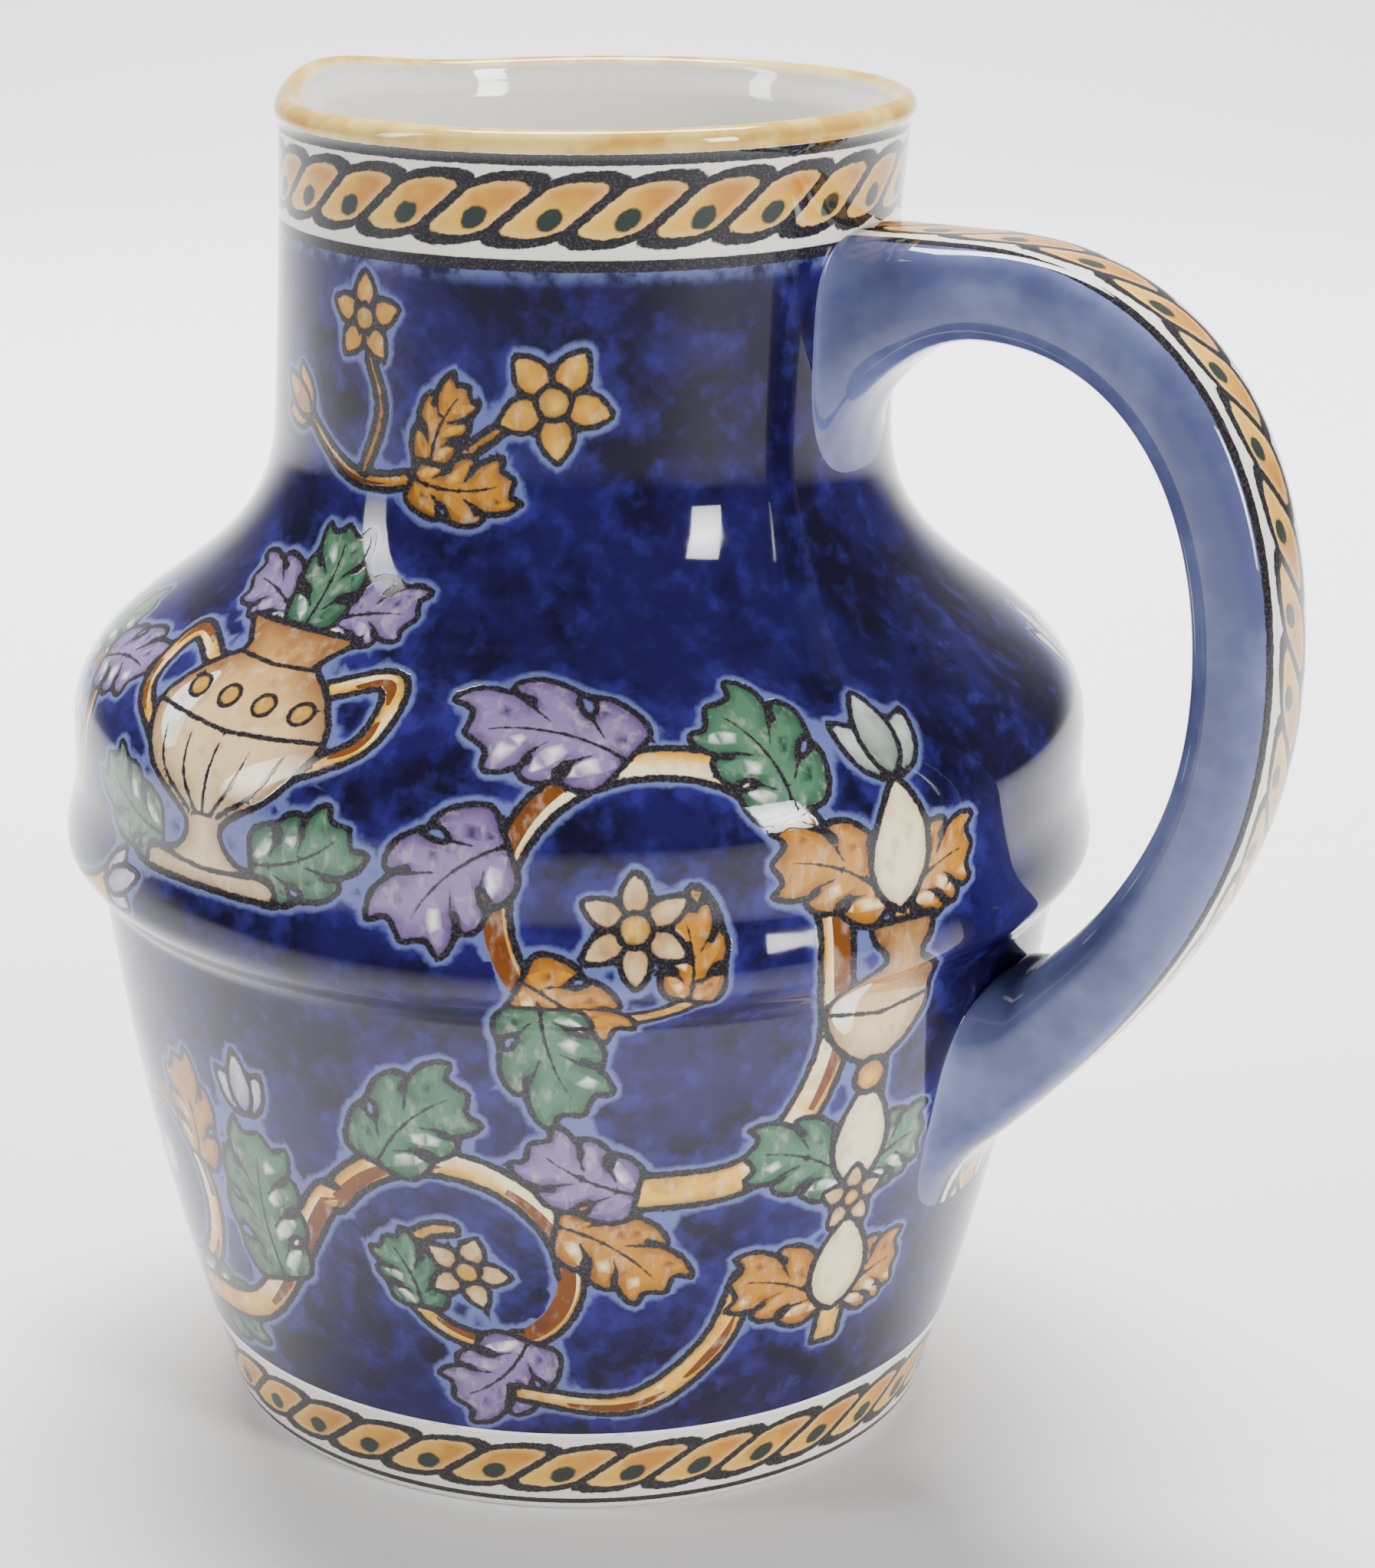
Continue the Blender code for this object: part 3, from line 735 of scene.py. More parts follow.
def free_sections():
    """The strap's sections away from its joints."""
    back, belly = strap_curves()
    steps = np.arange(len(back))
    share = np.linspace(FREE_FROM, FREE_TO, FREE_STATIONS) * steps[-1]
    back = np.stack([np.interp(share, steps, back[:, i]) for i in range(2)], 1)
    belly = np.stack([np.interp(share, steps, belly[:, i]) for i in range(2)], 1)
    station = np.arange(FREE_STATIONS)
    width = HANDLE_WIDTH + NECK_FLARE * np.clip(1 - station / NECK_FLARE_STATIONS, 0, 1) ** 2
    width += LOW_FLARE * np.clip(1 - station[::-1] / LOW_FLARE_STATIONS, 0, 1) ** 2
    middle, half = (back + belly) / 2, (back - belly) / 2
    flat = middle[:, None, :] + half[:, None, :] * DEPTHWAYS[None, :, None]
    sideways = width[:, None] / 2 * SIDEWAYS[None, :]
    return np.stack([flat[..., 0], sideways, flat[..., 1]], -1)


def root_ring(joint):
    """Turn and profile length of the ring where the strap meets the wall."""
    low, high = profile_at_height(joint["low"]), profile_at_height(joint["high"])
    upwards = DEPTHWAYS if joint["back_up"] else -DEPTHWAYS
    length = (low + high) / 2 + upwards * (high - low) / 2
    radius = np.interp(length, section_length, section[:, 0])
    return np.stack([np.arcsin(joint["half"] * SIDEWAYS / radius), length], 1)


def fillet(ring, first, second):
    """Sections from a ring on the wall to the first free section, left out at both ends."""
    start = place(ring[:, 0], ring[:, 1])
    normal = facing(ring[:, 0], ring[:, 1])
    way = second - first
    way = way / np.linalg.norm(way, axis=1)[:, None]
    gap = first - start
    along_wall = gap - (gap * normal).sum(1)[:, None] * normal
    beside = np.linalg.norm(along_wall, axis=1)[:, None]
    stand = np.abs((gap * normal).sum(1))[:, None]
    t = np.linspace(0, 1, FILLET_STATIONS + 2)[1:-1, None, None]
    leave = along_wall * FILLET_LEAVE
    arrive = way * (FILLET_STAND * stand + FILLET_BESIDE * beside)
    return ((2 * t ** 3 - 3 * t ** 2 + 1) * start + (t ** 3 - 2 * t ** 2 + t) * leave
            + (3 * t ** 2 - 2 * t ** 3) * first + (t ** 3 - t ** 2) * arrive)


neck_ring, low_ring = root_ring(NECK_JOINT), root_ring(LOW_JOINT)
free = free_sections()
strap_grid = np.concatenate([
    place(neck_ring[:, 0], neck_ring[:, 1])[None], fillet(neck_ring, free[0], free[1]), free,
    fillet(low_ring, free[-1], free[-2])[::-1], place(low_ring[:, 0], low_ring[:, 1])[None]])
along_steps = np.linalg.norm(np.diff(strap_grid[:, RING_POINTS // 4], axis=0), axis=1)
strap_along = np.concatenate([[0], np.cumsum(along_steps)])
print("Handle:", strap_grid.shape[0], "sections,", round(strap_along[-1]), "mm along its back")


def strap_normals():
    """Outward normals of the strap, equal to the wall's own on its two rings."""
    along = np.gradient(strap_grid, axis=0)
    around = np.roll(strap_grid, -1, 1) - np.roll(strap_grid, 1, 1)
    normal = np.cross(around, along)
    normal /= np.maximum(np.linalg.norm(normal, axis=-1, keepdims=True), 1e-9)
    outward = strap_grid - strap_grid.mean(1, keepdims=True)
    if (normal * outward).sum() < 0:
        normal = -normal
    normal[0] = facing(neck_ring[:, 0], neck_ring[:, 1])
    normal[-1] = facing(low_ring[:, 0], low_ring[:, 1])
    return normal


# %% [markdown]
# Now the pattern sheet. Rows and columns of points carry the pot's curve, closer together
# where it bends. Every painted outline goes in as fixed edges, with a line of points on both
# sides of it, so that the distance to the paint can be stored at the points and still be
# true between them. Blender's constrained Delaunay triangulation joins them all up.

# %% Pattern sheet
SHEET_RADIUS = 40.0
SEAM = math.radians(163)
COLUMNS = 180
SHEET_LOW, SHEET_HIGH = profile_at_height(9.0), profile_at_height(115.0)
SIDE_GAP = 0.42
SIDE_CELL = 0.34
SIDE_KEEP = 0.62  # a side point's least distance from any line, as a share of SIDE_GAP
CLEAR_OF_PAINT = 0.34
WIDEST_ROW, WIDEST_LOW_ROW, WIDEST_INNER_ROW = 1.7, 3.0, 2.6


def rows_between(low, high, widest):
    """Profile lengths that lie closer together where the section turns faster."""
    use = (section_length >= low) & (section_length <= high)
    way = np.unwrap(np.arctan2(np.gradient(section[:, 1]), np.gradient(section[:, 0])))
    bend = np.abs(np.gradient(way)) / PROFILE_STEP
    bend = np.convolve(bend, np.ones(9) / 9, "same")[use]
    spacing = np.clip(np.sqrt(8 * 0.004 / np.maximum(bend, 1e-4)), 0.2, widest)
    count = np.concatenate([[0], np.cumsum(PROFILE_STEP / spacing)])[:-1]
    rows = np.interp(np.linspace(0, count[-1], int(round(count[-1])) + 1), count, section_length[use])
    rows[0], rows[-1] = low, high
    return rows


def is_inside(spots, outline):
    """Which points lie in a closed outline, by counting the edges to their right."""
    hit = np.zeros(len(spots), bool)
    low, high = outline.min(0), outline.max(0)
    near = np.nonzero(((spots >= low) & (spots <= high)).all(1))[0]
    if not len(near):
        return hit
    x, y = spots[near, 0][:, None], spots[near, 1][:, None]
    x1, y1 = outline[:, 0][None], outline[:, 1][None]
    x2, y2 = np.roll(outline[:, 0], -1)[None], np.roll(outline[:, 1], -1)[None]
    straddle = (y1 > y) != (y2 > y)
    rise = np.where(y2 == y1, 1.0, y2 - y1)
    hit[near] = (straddle & (x < x1 + (y - y1) * (x2 - x1) / rise)).sum(1) % 2 == 1
    return hit


def grown(ring, share=1.06):
    """A ring a little larger about its middle, so that the drawing stays clear of it."""
    return ring.mean(0) + (ring - ring.mean(0)) * share


def hidden(spots, order):
    """Which points lie under the strap or are covered by a shape painted later."""
    cover = is_inside(spots, grown(neck_ring)) | is_inside(spots, grown(low_ring))
    for later in drawing[order + 1:]:
        if later["closed"]:
            cover |= is_inside(spots, later["path"])
    return cover


def edges_of(item):
    """Pairs of neighbouring points along an outline or a line."""
    first = np.arange(len(item["path"]))
    return np.stack([first, np.roll(first, -1)], 1)[:None if item["closed"] else -1]


def tree_of(places):
    """A search tree for the nearest of many places."""
    tree = KDTree(len(places))
    for k, p in enumerate(places):
        tree.insert(p, k)
    tree.balance()
    return tree


spots, fixed, inked, ink_spots, ink_half, rim_spots = [], [], [], [], [], []
count = 0
for order, item in enumerate(drawing):
    path = item["path"]
    covered = hidden(path, order)
    pairs = edges_of(item)
    shown = ~(covered[pairs[:, 0]] | covered[pairs[:, 1]])
    spots.append(path)
    fixed.append(pairs[shown] + count)
    inked.append(np.full(shown.sum(), item["inked"]))
    count += len(path)
    if not item["inked"]:
        continue
    for share in (0.0, 0.25, 0.5, 0.75):
        between = path[pairs[:, 0]] * (1 - share) + path[pairs[:, 1]] * share
        seen = ~hidden(between, order)
        ink_spots.append(between[seen])
        ink_half.append(item["half"][pairs[seen, 0]])
        if item["closed"]:
            rim_spots.append(between[seen])
paint_spots = np.concatenate(spots)
paint_edges, inked = np.concatenate(fixed), np.concatenate(inked)
keep = np.unique(paint_edges)
renumber = np.full(len(paint_spots), -1)
renumber[keep] = np.arange(len(keep))
paint_spots, paint_edges = paint_spots[keep], renumber[paint_edges]
ink_spots, ink_half = np.concatenate(ink_spots), np.concatenate(ink_half)
rim_spots = np.concatenate(rim_spots)
ink_tree = tree_of(place(ink_spots[:, 0], ink_spots[:, 1]))
rim_tree = tree_of(place(rim_spots[:, 0], rim_spots[:, 1]))
print(len(paint_spots), "outline points,", len(paint_edges), "fixed edges")


def beside(spots, edges):
    """Points a little to both sides of the painted edges, thinned so that none crowd."""
    start, end = spots[edges[:, 0]], spots[edges[:, 1]]
    middle = (start + end) / 2
    radius = np.interp(middle[:, 1], section_length, section[:, 0])
    run = (end - start) * np.stack([radius, np.ones(len(radius))], 1)
    run /= np.linalg.norm(run, axis=1)[:, None]
    side = np.stack([-run[:, 1] / radius, run[:, 0]], 1) * SIDE_GAP
    taken, chosen = set(), []
    for spot in np.concatenate([middle + side, middle - side]):
        where = place(spot[:1], spot[1:])[0]
        cell = tuple(np.round(where / SIDE_CELL).astype(int))
        if cell in taken or ink_tree.find(where)[2] < SIDE_KEEP * SIDE_GAP:
            continue
        taken.add(cell)
        chosen.append(spot)
    return np.array(chosen)


rows = rows_between(SHEET_LOW, SHEET_HIGH, WIDEST_ROW)
columns = SEAM - 2 * np.pi + 2 * np.pi * np.arange(COLUMNS + 1) / COLUMNS
grid = np.stack(np.meshgrid(columns, rows, indexing="ij"), -1)
border = np.zeros(grid.shape[:2], bool)
border[0], border[-1], border[:, 0], border[:, -1] = True, True, True, True
side_spots = beside(paint_spots, paint_edges[inked])
paint_tree = tree_of(place(*np.concatenate([paint_spots, side_spots, neck_ring, low_ring]).T))
free_grid = grid[~border]
in_hole = is_inside(free_grid, neck_ring) | is_inside(free_grid, low_ring)
far = np.array([paint_tree.find(p)[2] > CLEAR_OF_PAINT for p in place(*free_grid.T)])
inner_grid = free_grid[far & ~in_hole]
frame_spots = np.concatenate([grid[:, 0], grid[-1, 1:], grid[:-1, -1][::-1], grid[0, 1:-1][::-1]])
parts = [frame_spots, neck_ring, low_ring, paint_spots, side_spots, inner_grid]
starts = np.concatenate([[0], np.cumsum([len(p) for p in parts])])


def loop(first, size):
    """The edges of a closed run of points."""
    k = np.arange(size)
    return np.stack([first + k, first + (k + 1) % size], 1)


all_edges = np.concatenate([loop(starts[0], len(parts[0])), loop(starts[1], RING_POINTS),
                            loop(starts[2], RING_POINTS), paint_edges + starts[3]])
flat = np.concatenate(parts) * (SHEET_RADIUS, 1.0)
print("Triangulating", len(flat), "points")
result = delaunay_2d_cdt([Vector(p) for p in flat.tolist()], all_edges.tolist(), [], 0, 1e-5, False)
sheet_spots = np.array([tuple(v) for v in result[0]]) / (SHEET_RADIUS, 1.0)
sheet_faces = np.array(result[2])
middles = sheet_spots[sheet_faces].mean(1)
solid = ~(is_inside(middles, neck_ring) | is_inside(middles, low_ring))
sheet_faces, middles = sheet_faces[solid], middles[solid]
print("Sheet:", len(sheet_spots), "points,", len(sheet_faces), "triangles")

# %% [markdown]
# Each corner of the sheet gets the colour of the topmost shape it lies in, shaded from edge
# to heart the way a loaded brush leaves it. Each point learns its distance to the nearest
# painted line, less half the line's width, and its distance to the nearest painted shape:
# the first draws the lines, the second the paler cobalt that surrounds every motif.

# %% Colours on the sheet
FAR_AWAY = 9.0


def to_segments(points, path):
    """Distance from points to a closed line."""
    a, b = path[None], np.roll(path, -1, 0)[None]
    run = b - a
    share = ((points[:, None] - a) * run).sum(-1) / np.maximum((run ** 2).sum(-1), 1e-9)
    nearest = a + np.clip(share, 0, 1)[..., None] * run
    return np.linalg.norm(points[:, None] - nearest, axis=-1).min(1)


def shape_colour(item, spots):
    """The brushed colour of one shape at some sheet points."""
    local = item["anchor"].unwrap(spots)
    heart = np.clip(to_segments(local, item["local"]) / item["reach"], 0, 1)[:, None]
    colour = np.array(item["edge"]) * (1 - heart) + np.array(item["heart"]) * heart
    if item["tip"] is not None:
        start, end = (np.array(v, float) for v in item["axis"])
        run = end - start
        far = np.clip(((local - start) @ run) / (run @ run), 0, 1)[:, None]
        blend = (0.15 + 0.85 * far ** 1.4) * (0.25 + 0.75 * heart)
        colour = colour * (1 - blend) + np.array(item["tip"]) * blend
    return colour


topmost = np.full(len(sheet_faces), -1)
for order, item in enumerate(drawing):
    if item["closed"]:
        topmost[is_inside(middles, item["path"])] = order
corner_paint = np.zeros((len(sheet_faces), 3, 4))
for order in np.unique(topmost[topmost >= 0]):
    faces = np.nonzero(topmost == order)[0]
    ends = sheet_spots[sheet_faces[faces]].reshape(-1, 2)
    corner_paint[faces, :, :3] = shape_colour(drawing[order], ends).reshape(-1, 3, 3)
    corner_paint[faces, :, 3] = 1.0
painted_point = np.zeros(len(sheet_spots), bool)
painted_point[sheet_faces[topmost >= 0].ravel()] = True

sheet_places = place(sheet_spots[:, 0], sheet_spots[:, 1])
ink_amount = np.zeros(len(sheet_spots))
halo_amount = np.zeros(len(sheet_spots))
for k, where in enumerate(sheet_places):
    found = ink_tree.find_n(where, 4)
    ink_amount[k] = min(gap - ink_half[number] for _, number, gap in found)
    halo_amount[k] = 0.0 if painted_point[k] else rim_tree.find(where)[2]
print("Painted triangles:", int((topmost >= 0).sum()))

# %% [markdown]
# The lip, the inside, the foot and the underside are plain turned walls, spun from the
# section with Blender's own operator, and the strap is bridged from ring to ring. Sheet,
# spun walls and strap then merge into one closed skin. Its normals are measured from the
# turned form itself, so the glaze mirrors its surroundings without a ripple.

# %% One skin
MAP_EDGE, MAP_WIDE = 0.01, 0.98
STRAP_MAP_MIDDLE, STRAP_MAP_TALL = 0.935, 0.11
TURNED_MAP_EDGE, TURNED_MAP_TALL = 0.005, 0.86
BELLY_SIDE = 8.0  # past this a face may span the belly's middle, where the distance changes sign
MERGE_DISTANCE = 0.004

skin = bmesh.new()
PROFILE = skin.verts.layers.float.new("profile")
INK_GAP = skin.verts.layers.float.new("ink")
HALO_GAP = skin.verts.layers.float.new("halo")
SHINE = skin.verts.layers.float_vector.new("shine")
PAINT = skin.loops.layers.float_color.new("paint")
STRAP = skin.loops.layers.float_vector.new("strap")
FLAT_MAP = skin.loops.layers.uv.new("OFBake")

# The pattern sheet
shine = facing(sheet_spots[:, 0], sheet_spots[:, 1])
sheet_verts = []
for k, where in enumerate(sheet_places):
    vert = skin.verts.new(where)
    vert[PROFILE], vert[INK_GAP], vert[HALO_GAP] = sheet_spots[k, 1], ink_amount[k], halo_amount[k]
    vert[SHINE] = shine[k]
    sheet_verts.append(vert)
for corners, colours in zip(sheet_faces.tolist(), corner_paint.tolist()):
    face = skin.faces.new([sheet_verts[c] for c in corners])
    for loop_corner, colour in zip(face.loops, colours):
        loop_corner[PAINT] = colour

# The turned walls
for low, high, widest in ((UNDERSIDE_MIDDLE, SHEET_LOW, WIDEST_LOW_ROW),
                          (SHEET_HIGH, FLOOR_MIDDLE, WIDEST_INNER_ROW)):
    line_verts = []
    for length in rows_between(low, high, widest):
        radius = float(np.interp(length, section_length, section[:, 0]))
        height = float(np.interp(length, section_length, section[:, 1]))
        if length in (UNDERSIDE_MIDDLE, FLOOR_MIDDLE):
            radius = 0.0
        vert = skin.verts.new((radius * math.cos(SEAM), radius * math.sin(SEAM), height))
        vert[PROFILE], vert[INK_GAP], vert[HALO_GAP] = length, FAR_AWAY, FAR_AWAY
        line_verts.append(vert)
    line_edges = [skin.edges.new(pair) for pair in zip(line_verts, line_verts[1:])]
    before = len(skin.verts) - len(line_verts)
    bmesh.ops.spin(skin, geom=line_verts + line_edges, cent=(0, 0, 0), axis=(0, 0, 1),
                   angle=2 * math.pi, steps=COLUMNS, use_merge=True, use_duplicate=False)
    skin.verts.ensure_lookup_table()
    spun = [v for v in skin.verts[before:] if math.hypot(v.co.x, v.co.y) > 0.01]
    turns = np.array([math.atan2(v.co.y, v.co.x) for v in spun])
    lengths = np.array([v[PROFILE] for v in spun])
    for vert, where, normal in zip(spun, place(turns, lengths), facing(turns, lengths)):
        vert.co, vert[SHINE] = where, normal
for vert in skin.verts:
    if vert[SHINE].length < 0.5:
        vert[SHINE] = (0, 0, -1 if vert.co.z < 1 else 1)

# The strap, whose free points lie on no profile and so share one from the blue wall
BLUE_WALL_HEIGHT = 80.0
strap_profile = np.full(strap_grid.shape[:2], profile_at_height(BLUE_WALL_HEIGHT))
strap_profile[0], strap_profile[-1] = neck_ring[:, 1], low_ring[:, 1]
strap_shine = strap_normals()
round_it = np.linalg.norm(np.roll(strap_grid, -1, 1) - strap_grid, axis=-1)
strap_rings, strap_place = [], {}
for k, ring in enumerate(strap_grid):
    walk = np.concatenate([[0], np.cumsum(round_it[k])])
    back_middle = (walk[RING_POINTS // 4 - 1] + walk[RING_POINTS // 4]) / 2
    ring_verts = []
    for n, where in enumerate(ring):
        vert = skin.verts.new(where)
        vert[PROFILE] = strap_profile[k, n]
        vert[INK_GAP], vert[HALO_GAP], vert[SHINE] = FAR_AWAY, FAR_AWAY, strap_shine[k, n]
        across = back_middle - walk[n]
        across -= walk[-1] * round(across / walk[-1])
        strap_place[vert] = (strap_along[k], across, walk[-1])
        ring_verts.append(vert)
    strap_rings.append([skin.edges.new(p) for p in zip(ring_verts, ring_verts[1:] + ring_verts[:1])])
strap_faces = []
for ring, following in zip(strap_rings, strap_rings[1:]):
    strap_faces += bmesh.ops.bridge_loops(skin, edges=ring + following)["faces"]
for face in strap_faces:
    near_belly = max(strap_place[corner.vert][1] for corner in face.loops) > BELLY_SIDE
    for corner in face.loops:
        along, across, whole = strap_place[corner.vert]
        across = abs(across) if near_belly else across
        corner[STRAP] = (along, across, 1.0)
        corner[FLAT_MAP].uv = (MAP_EDGE + MAP_WIDE * along / strap_along[-1],
                               STRAP_MAP_MIDDLE + STRAP_MAP_TALL * across / whole)

bmesh.ops.remove_doubles(skin, verts=skin.verts, dist=MERGE_DISTANCE)
bmesh.ops.recalc_face_normals(skin, faces=skin.faces)
open_edges = [edge for edge in skin.edges if len(edge.link_faces) != 2]
print("Skin:", len(skin.verts), "points,", len(skin.faces), "faces,", len(open_edges), "open edges")

# %% [markdown]
# A flat map lets the finish be baked into one picture. It could come from Blender's unwrapping,
# but turn and profile length are a map already: the turned walls fill the lower part of it,
# and the strap has the strip above them. The mesh then becomes an object that stands for the
# solid jug, and its normals are set from the measured ones.

# %% Flat map and finished mesh
TURNED_MAP_SHARE = TURNED_MAP_TALL / (FLOOR_MIDDLE - UNDERSIDE_MIDDLE)


def turn_from_seam(spot):
    """A point's turn about the leaning axis, counted from the seam."""
    shift = float(shaped_share(spot.z)) * RIM_SHIFT
    return math.atan2(spot.y, spot.x - shift) - SEAM


for face in skin.faces:
    if face.loops[0][STRAP].z > 0.5:
        continue
    face_turn = turn_from_seam(face.calc_center_median()) % (2 * math.pi)
    for corner in face.loops:
        at_pole = corner.vert.co.xy.length <= 0.01
        own = face_turn if at_pole else turn_from_seam(corner.vert.co)
        own += 2 * math.pi * round((face_turn - own) / (2 * math.pi))
        corner[FLAT_MAP].uv = (MAP_EDGE + MAP_WIDE * own / (2 * math.pi),
                               TURNED_MAP_EDGE
                               + TURNED_MAP_SHARE * (corner.vert[PROFILE] - UNDERSIDE_MIDDLE))
skin.transform(Matrix.Scale(MM, 4))
jug_mesh = bpy.data.meshes.new("glazed_jug")
skin.to_mesh(jug_mesh)
skin.free()
shine = np.empty(len(jug_mesh.vertices) * 3, np.float32)
jug_mesh.attributes["shine"].data.foreach_get("vector", shine)
jug_mesh.attributes.remove(jug_mesh.attributes["shine"])
jug_mesh.shade_smooth()
jug_mesh.normals_split_custom_set_from_vertices(shine.reshape(-1, 3).tolist())
jug = bpy.data.objects.new("glazed_jug", jug_mesh)
bpy.context.scene.collection.objects.link(jug)
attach(jug, "root")
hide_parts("jug")
print("Jug:", [round(v / MM, 1) for v in jug.dimensions], "mm")

# %% [markdown]
# All the colour lies under one clear glaze, so the jug has one material. It reads the stored
# distances: where the distance to a line is below zero there is ink, just outside it a thin
# pale edge where the painter kept the blue away, and further out the cobalt ground, sponged on
# in clouds. Noise moves every edge a little, as a dry pigment pencil does on a raw glaze.

# %% Node tools
glaze = bpy.data.materials.new("painted_glaze")
glaze.use_nodes = True
glaze_tree = glaze.node_tree
glaze_tree.nodes.clear()


def add(kind, **settings):
    """A new node of the glaze with some of its settings."""
    made = glaze_tree.nodes.new(kind)
    for name, value in settings.items():
        setattr(made, name, value)
    return made


def feed(socket, value):
    """Link an output into a socket, or set the socket's own value."""
    if isinstance(value, bpy.types.NodeSocket):
        glaze_tree.links.new(value, socket)
    elif isinstance(value, tuple) and len(value) == 3 and socket.type == "RGBA":
        socket.default_value = (*value, 1.0)
    else:
        socket.default_value = value


def calc(operation, *values):
    """The result of one sum on sockets or numbers."""
    made = add("ShaderNodeMath", operation=operation)
    for socket, value in zip(made.inputs, values):
        feed(socket, value)
    return made.outputs[0]


def rise(value, low, high, bottom=0.0, top=1.0, kind="SMOOTHSTEP"):
    """A step from bottom to top while value goes from low to high, soft unless kind says LINEAR."""
    made = add("ShaderNodeMapRange", interpolation_type=kind)
    for socket, number in zip(made.inputs, (value, low, high, bottom, top)):
        feed(socket, number)
    return made.outputs[0]


def within(value, low, high, soft=0.05):
    """One between two limits, and zero outside them."""
    return calc("MULTIPLY", rise(value, low - soft, low + soft), rise(value, high + soft, high - soft))


def blend(share, under, over):
    """One colour laid over another."""
    made = add("ShaderNodeMix", data_type="RGBA")
    feed(made.inputs[0], share)
    feed(made.inputs[6], under)
    feed(made.inputs[7], over)
    return made.outputs[2]


def clouds(scale, detail=2.0, roughness=0.5, stretch=None, seed=0.0):
    """Noise in the jug's own millimetres; scale is in features per millimetre."""
    where = jug_place
    if stretch is not None or seed:
        mapping = add("ShaderNodeMapping")
        feed(mapping.inputs[0], jug_place)
        mapping.inputs["Location"].default_value = (seed, seed * 0.7, -seed)
        mapping.inputs["Scale"].default_value = stretch or (1, 1, 1)
        where = mapping.outputs[0]
    made = add("ShaderNodeTexNoise", noise_dimensions="3D")
    feed(made.inputs["Vector"], where)
    feed(made.inputs["Scale"], scale / MM)
    feed(made.inputs["Detail"], detail)
    feed(made.inputs["Roughness"], roughness)
    return made.outputs[0]


def stored(name, output="Fac"):
    """A value stored on the mesh."""
    return add("ShaderNodeAttribute", attribute_name=name).outputs[output]


jug_place = add("ShaderNodeTexCoord").outputs["Object"]
place_parts = add("ShaderNodeSeparateXYZ")
feed(place_parts.inputs[0], jug_place)
strap_parts = add("ShaderNodeSeparateXYZ")
feed(strap_parts.inputs[0], stored("strap", "Vector"))
along, across, on_strap = strap_parts.outputs
profile = stored("profile")
shaped = rise(place_parts.outputs[2], (HEIGHT - SHAPED_RIM_TALL) * MM, HEIGHT * MM, kind="LINEAR")
shift = calc("MULTIPLY", calc("POWER", shaped, 2.0), RIM_SHIFT * MM)
turn = calc("ARCTAN2", place_parts.outputs[1], calc("SUBTRACT", place_parts.outputs[0], shift))
pencil = calc("MULTIPLY", calc("SUBTRACT", clouds(1.4, 3.0, 0.6), 0.5), 0.55)
grain = clouds(4.5, 2.0, 0.6, seed=3.0)
print("Node tools ready")

# %% [markdown]
# The rope borders are a repeat, so the material works them out by formula: slanted links, one
# cell each, with a thick outline, a dark eye and little white notches above and below. The
# same formula serves the neck, the foot and the back of the handle.

# %% Rope border
ORANGE = paint(0.76, 0.50, 0.18)
AMBER = paint(0.88, 0.68, 0.27)
INK_BLACK = paint(0.12, 0.11, 0.12)
INK_GREY = paint(0.27, 0.26, 0.28)
WARM_WHITE = paint(0.93, 0.91, 0.86)
EYE_GREEN = paint(0.16, 0.20, 0.18)
LINK_GLOW = paint(0.94, 0.80, 0.50)
LINK_SQUARENESS = 2.4
LINK_REACH, LINK_FILL = 0.60, 0.92
EYE_LONG, EYE_THIN = 1.25, 0.84
EYE_FORWARD, EYE_DOWN = 0.065, 0.28
EYE_TILT = math.radians(33)


def squared(value, half_size):
    """The square of a distance counted in half sizes, for a round or oval spot."""
    return calc("POWER", calc("ABSOLUTE", calc("DIVIDE", value, half_size)), 2.0)


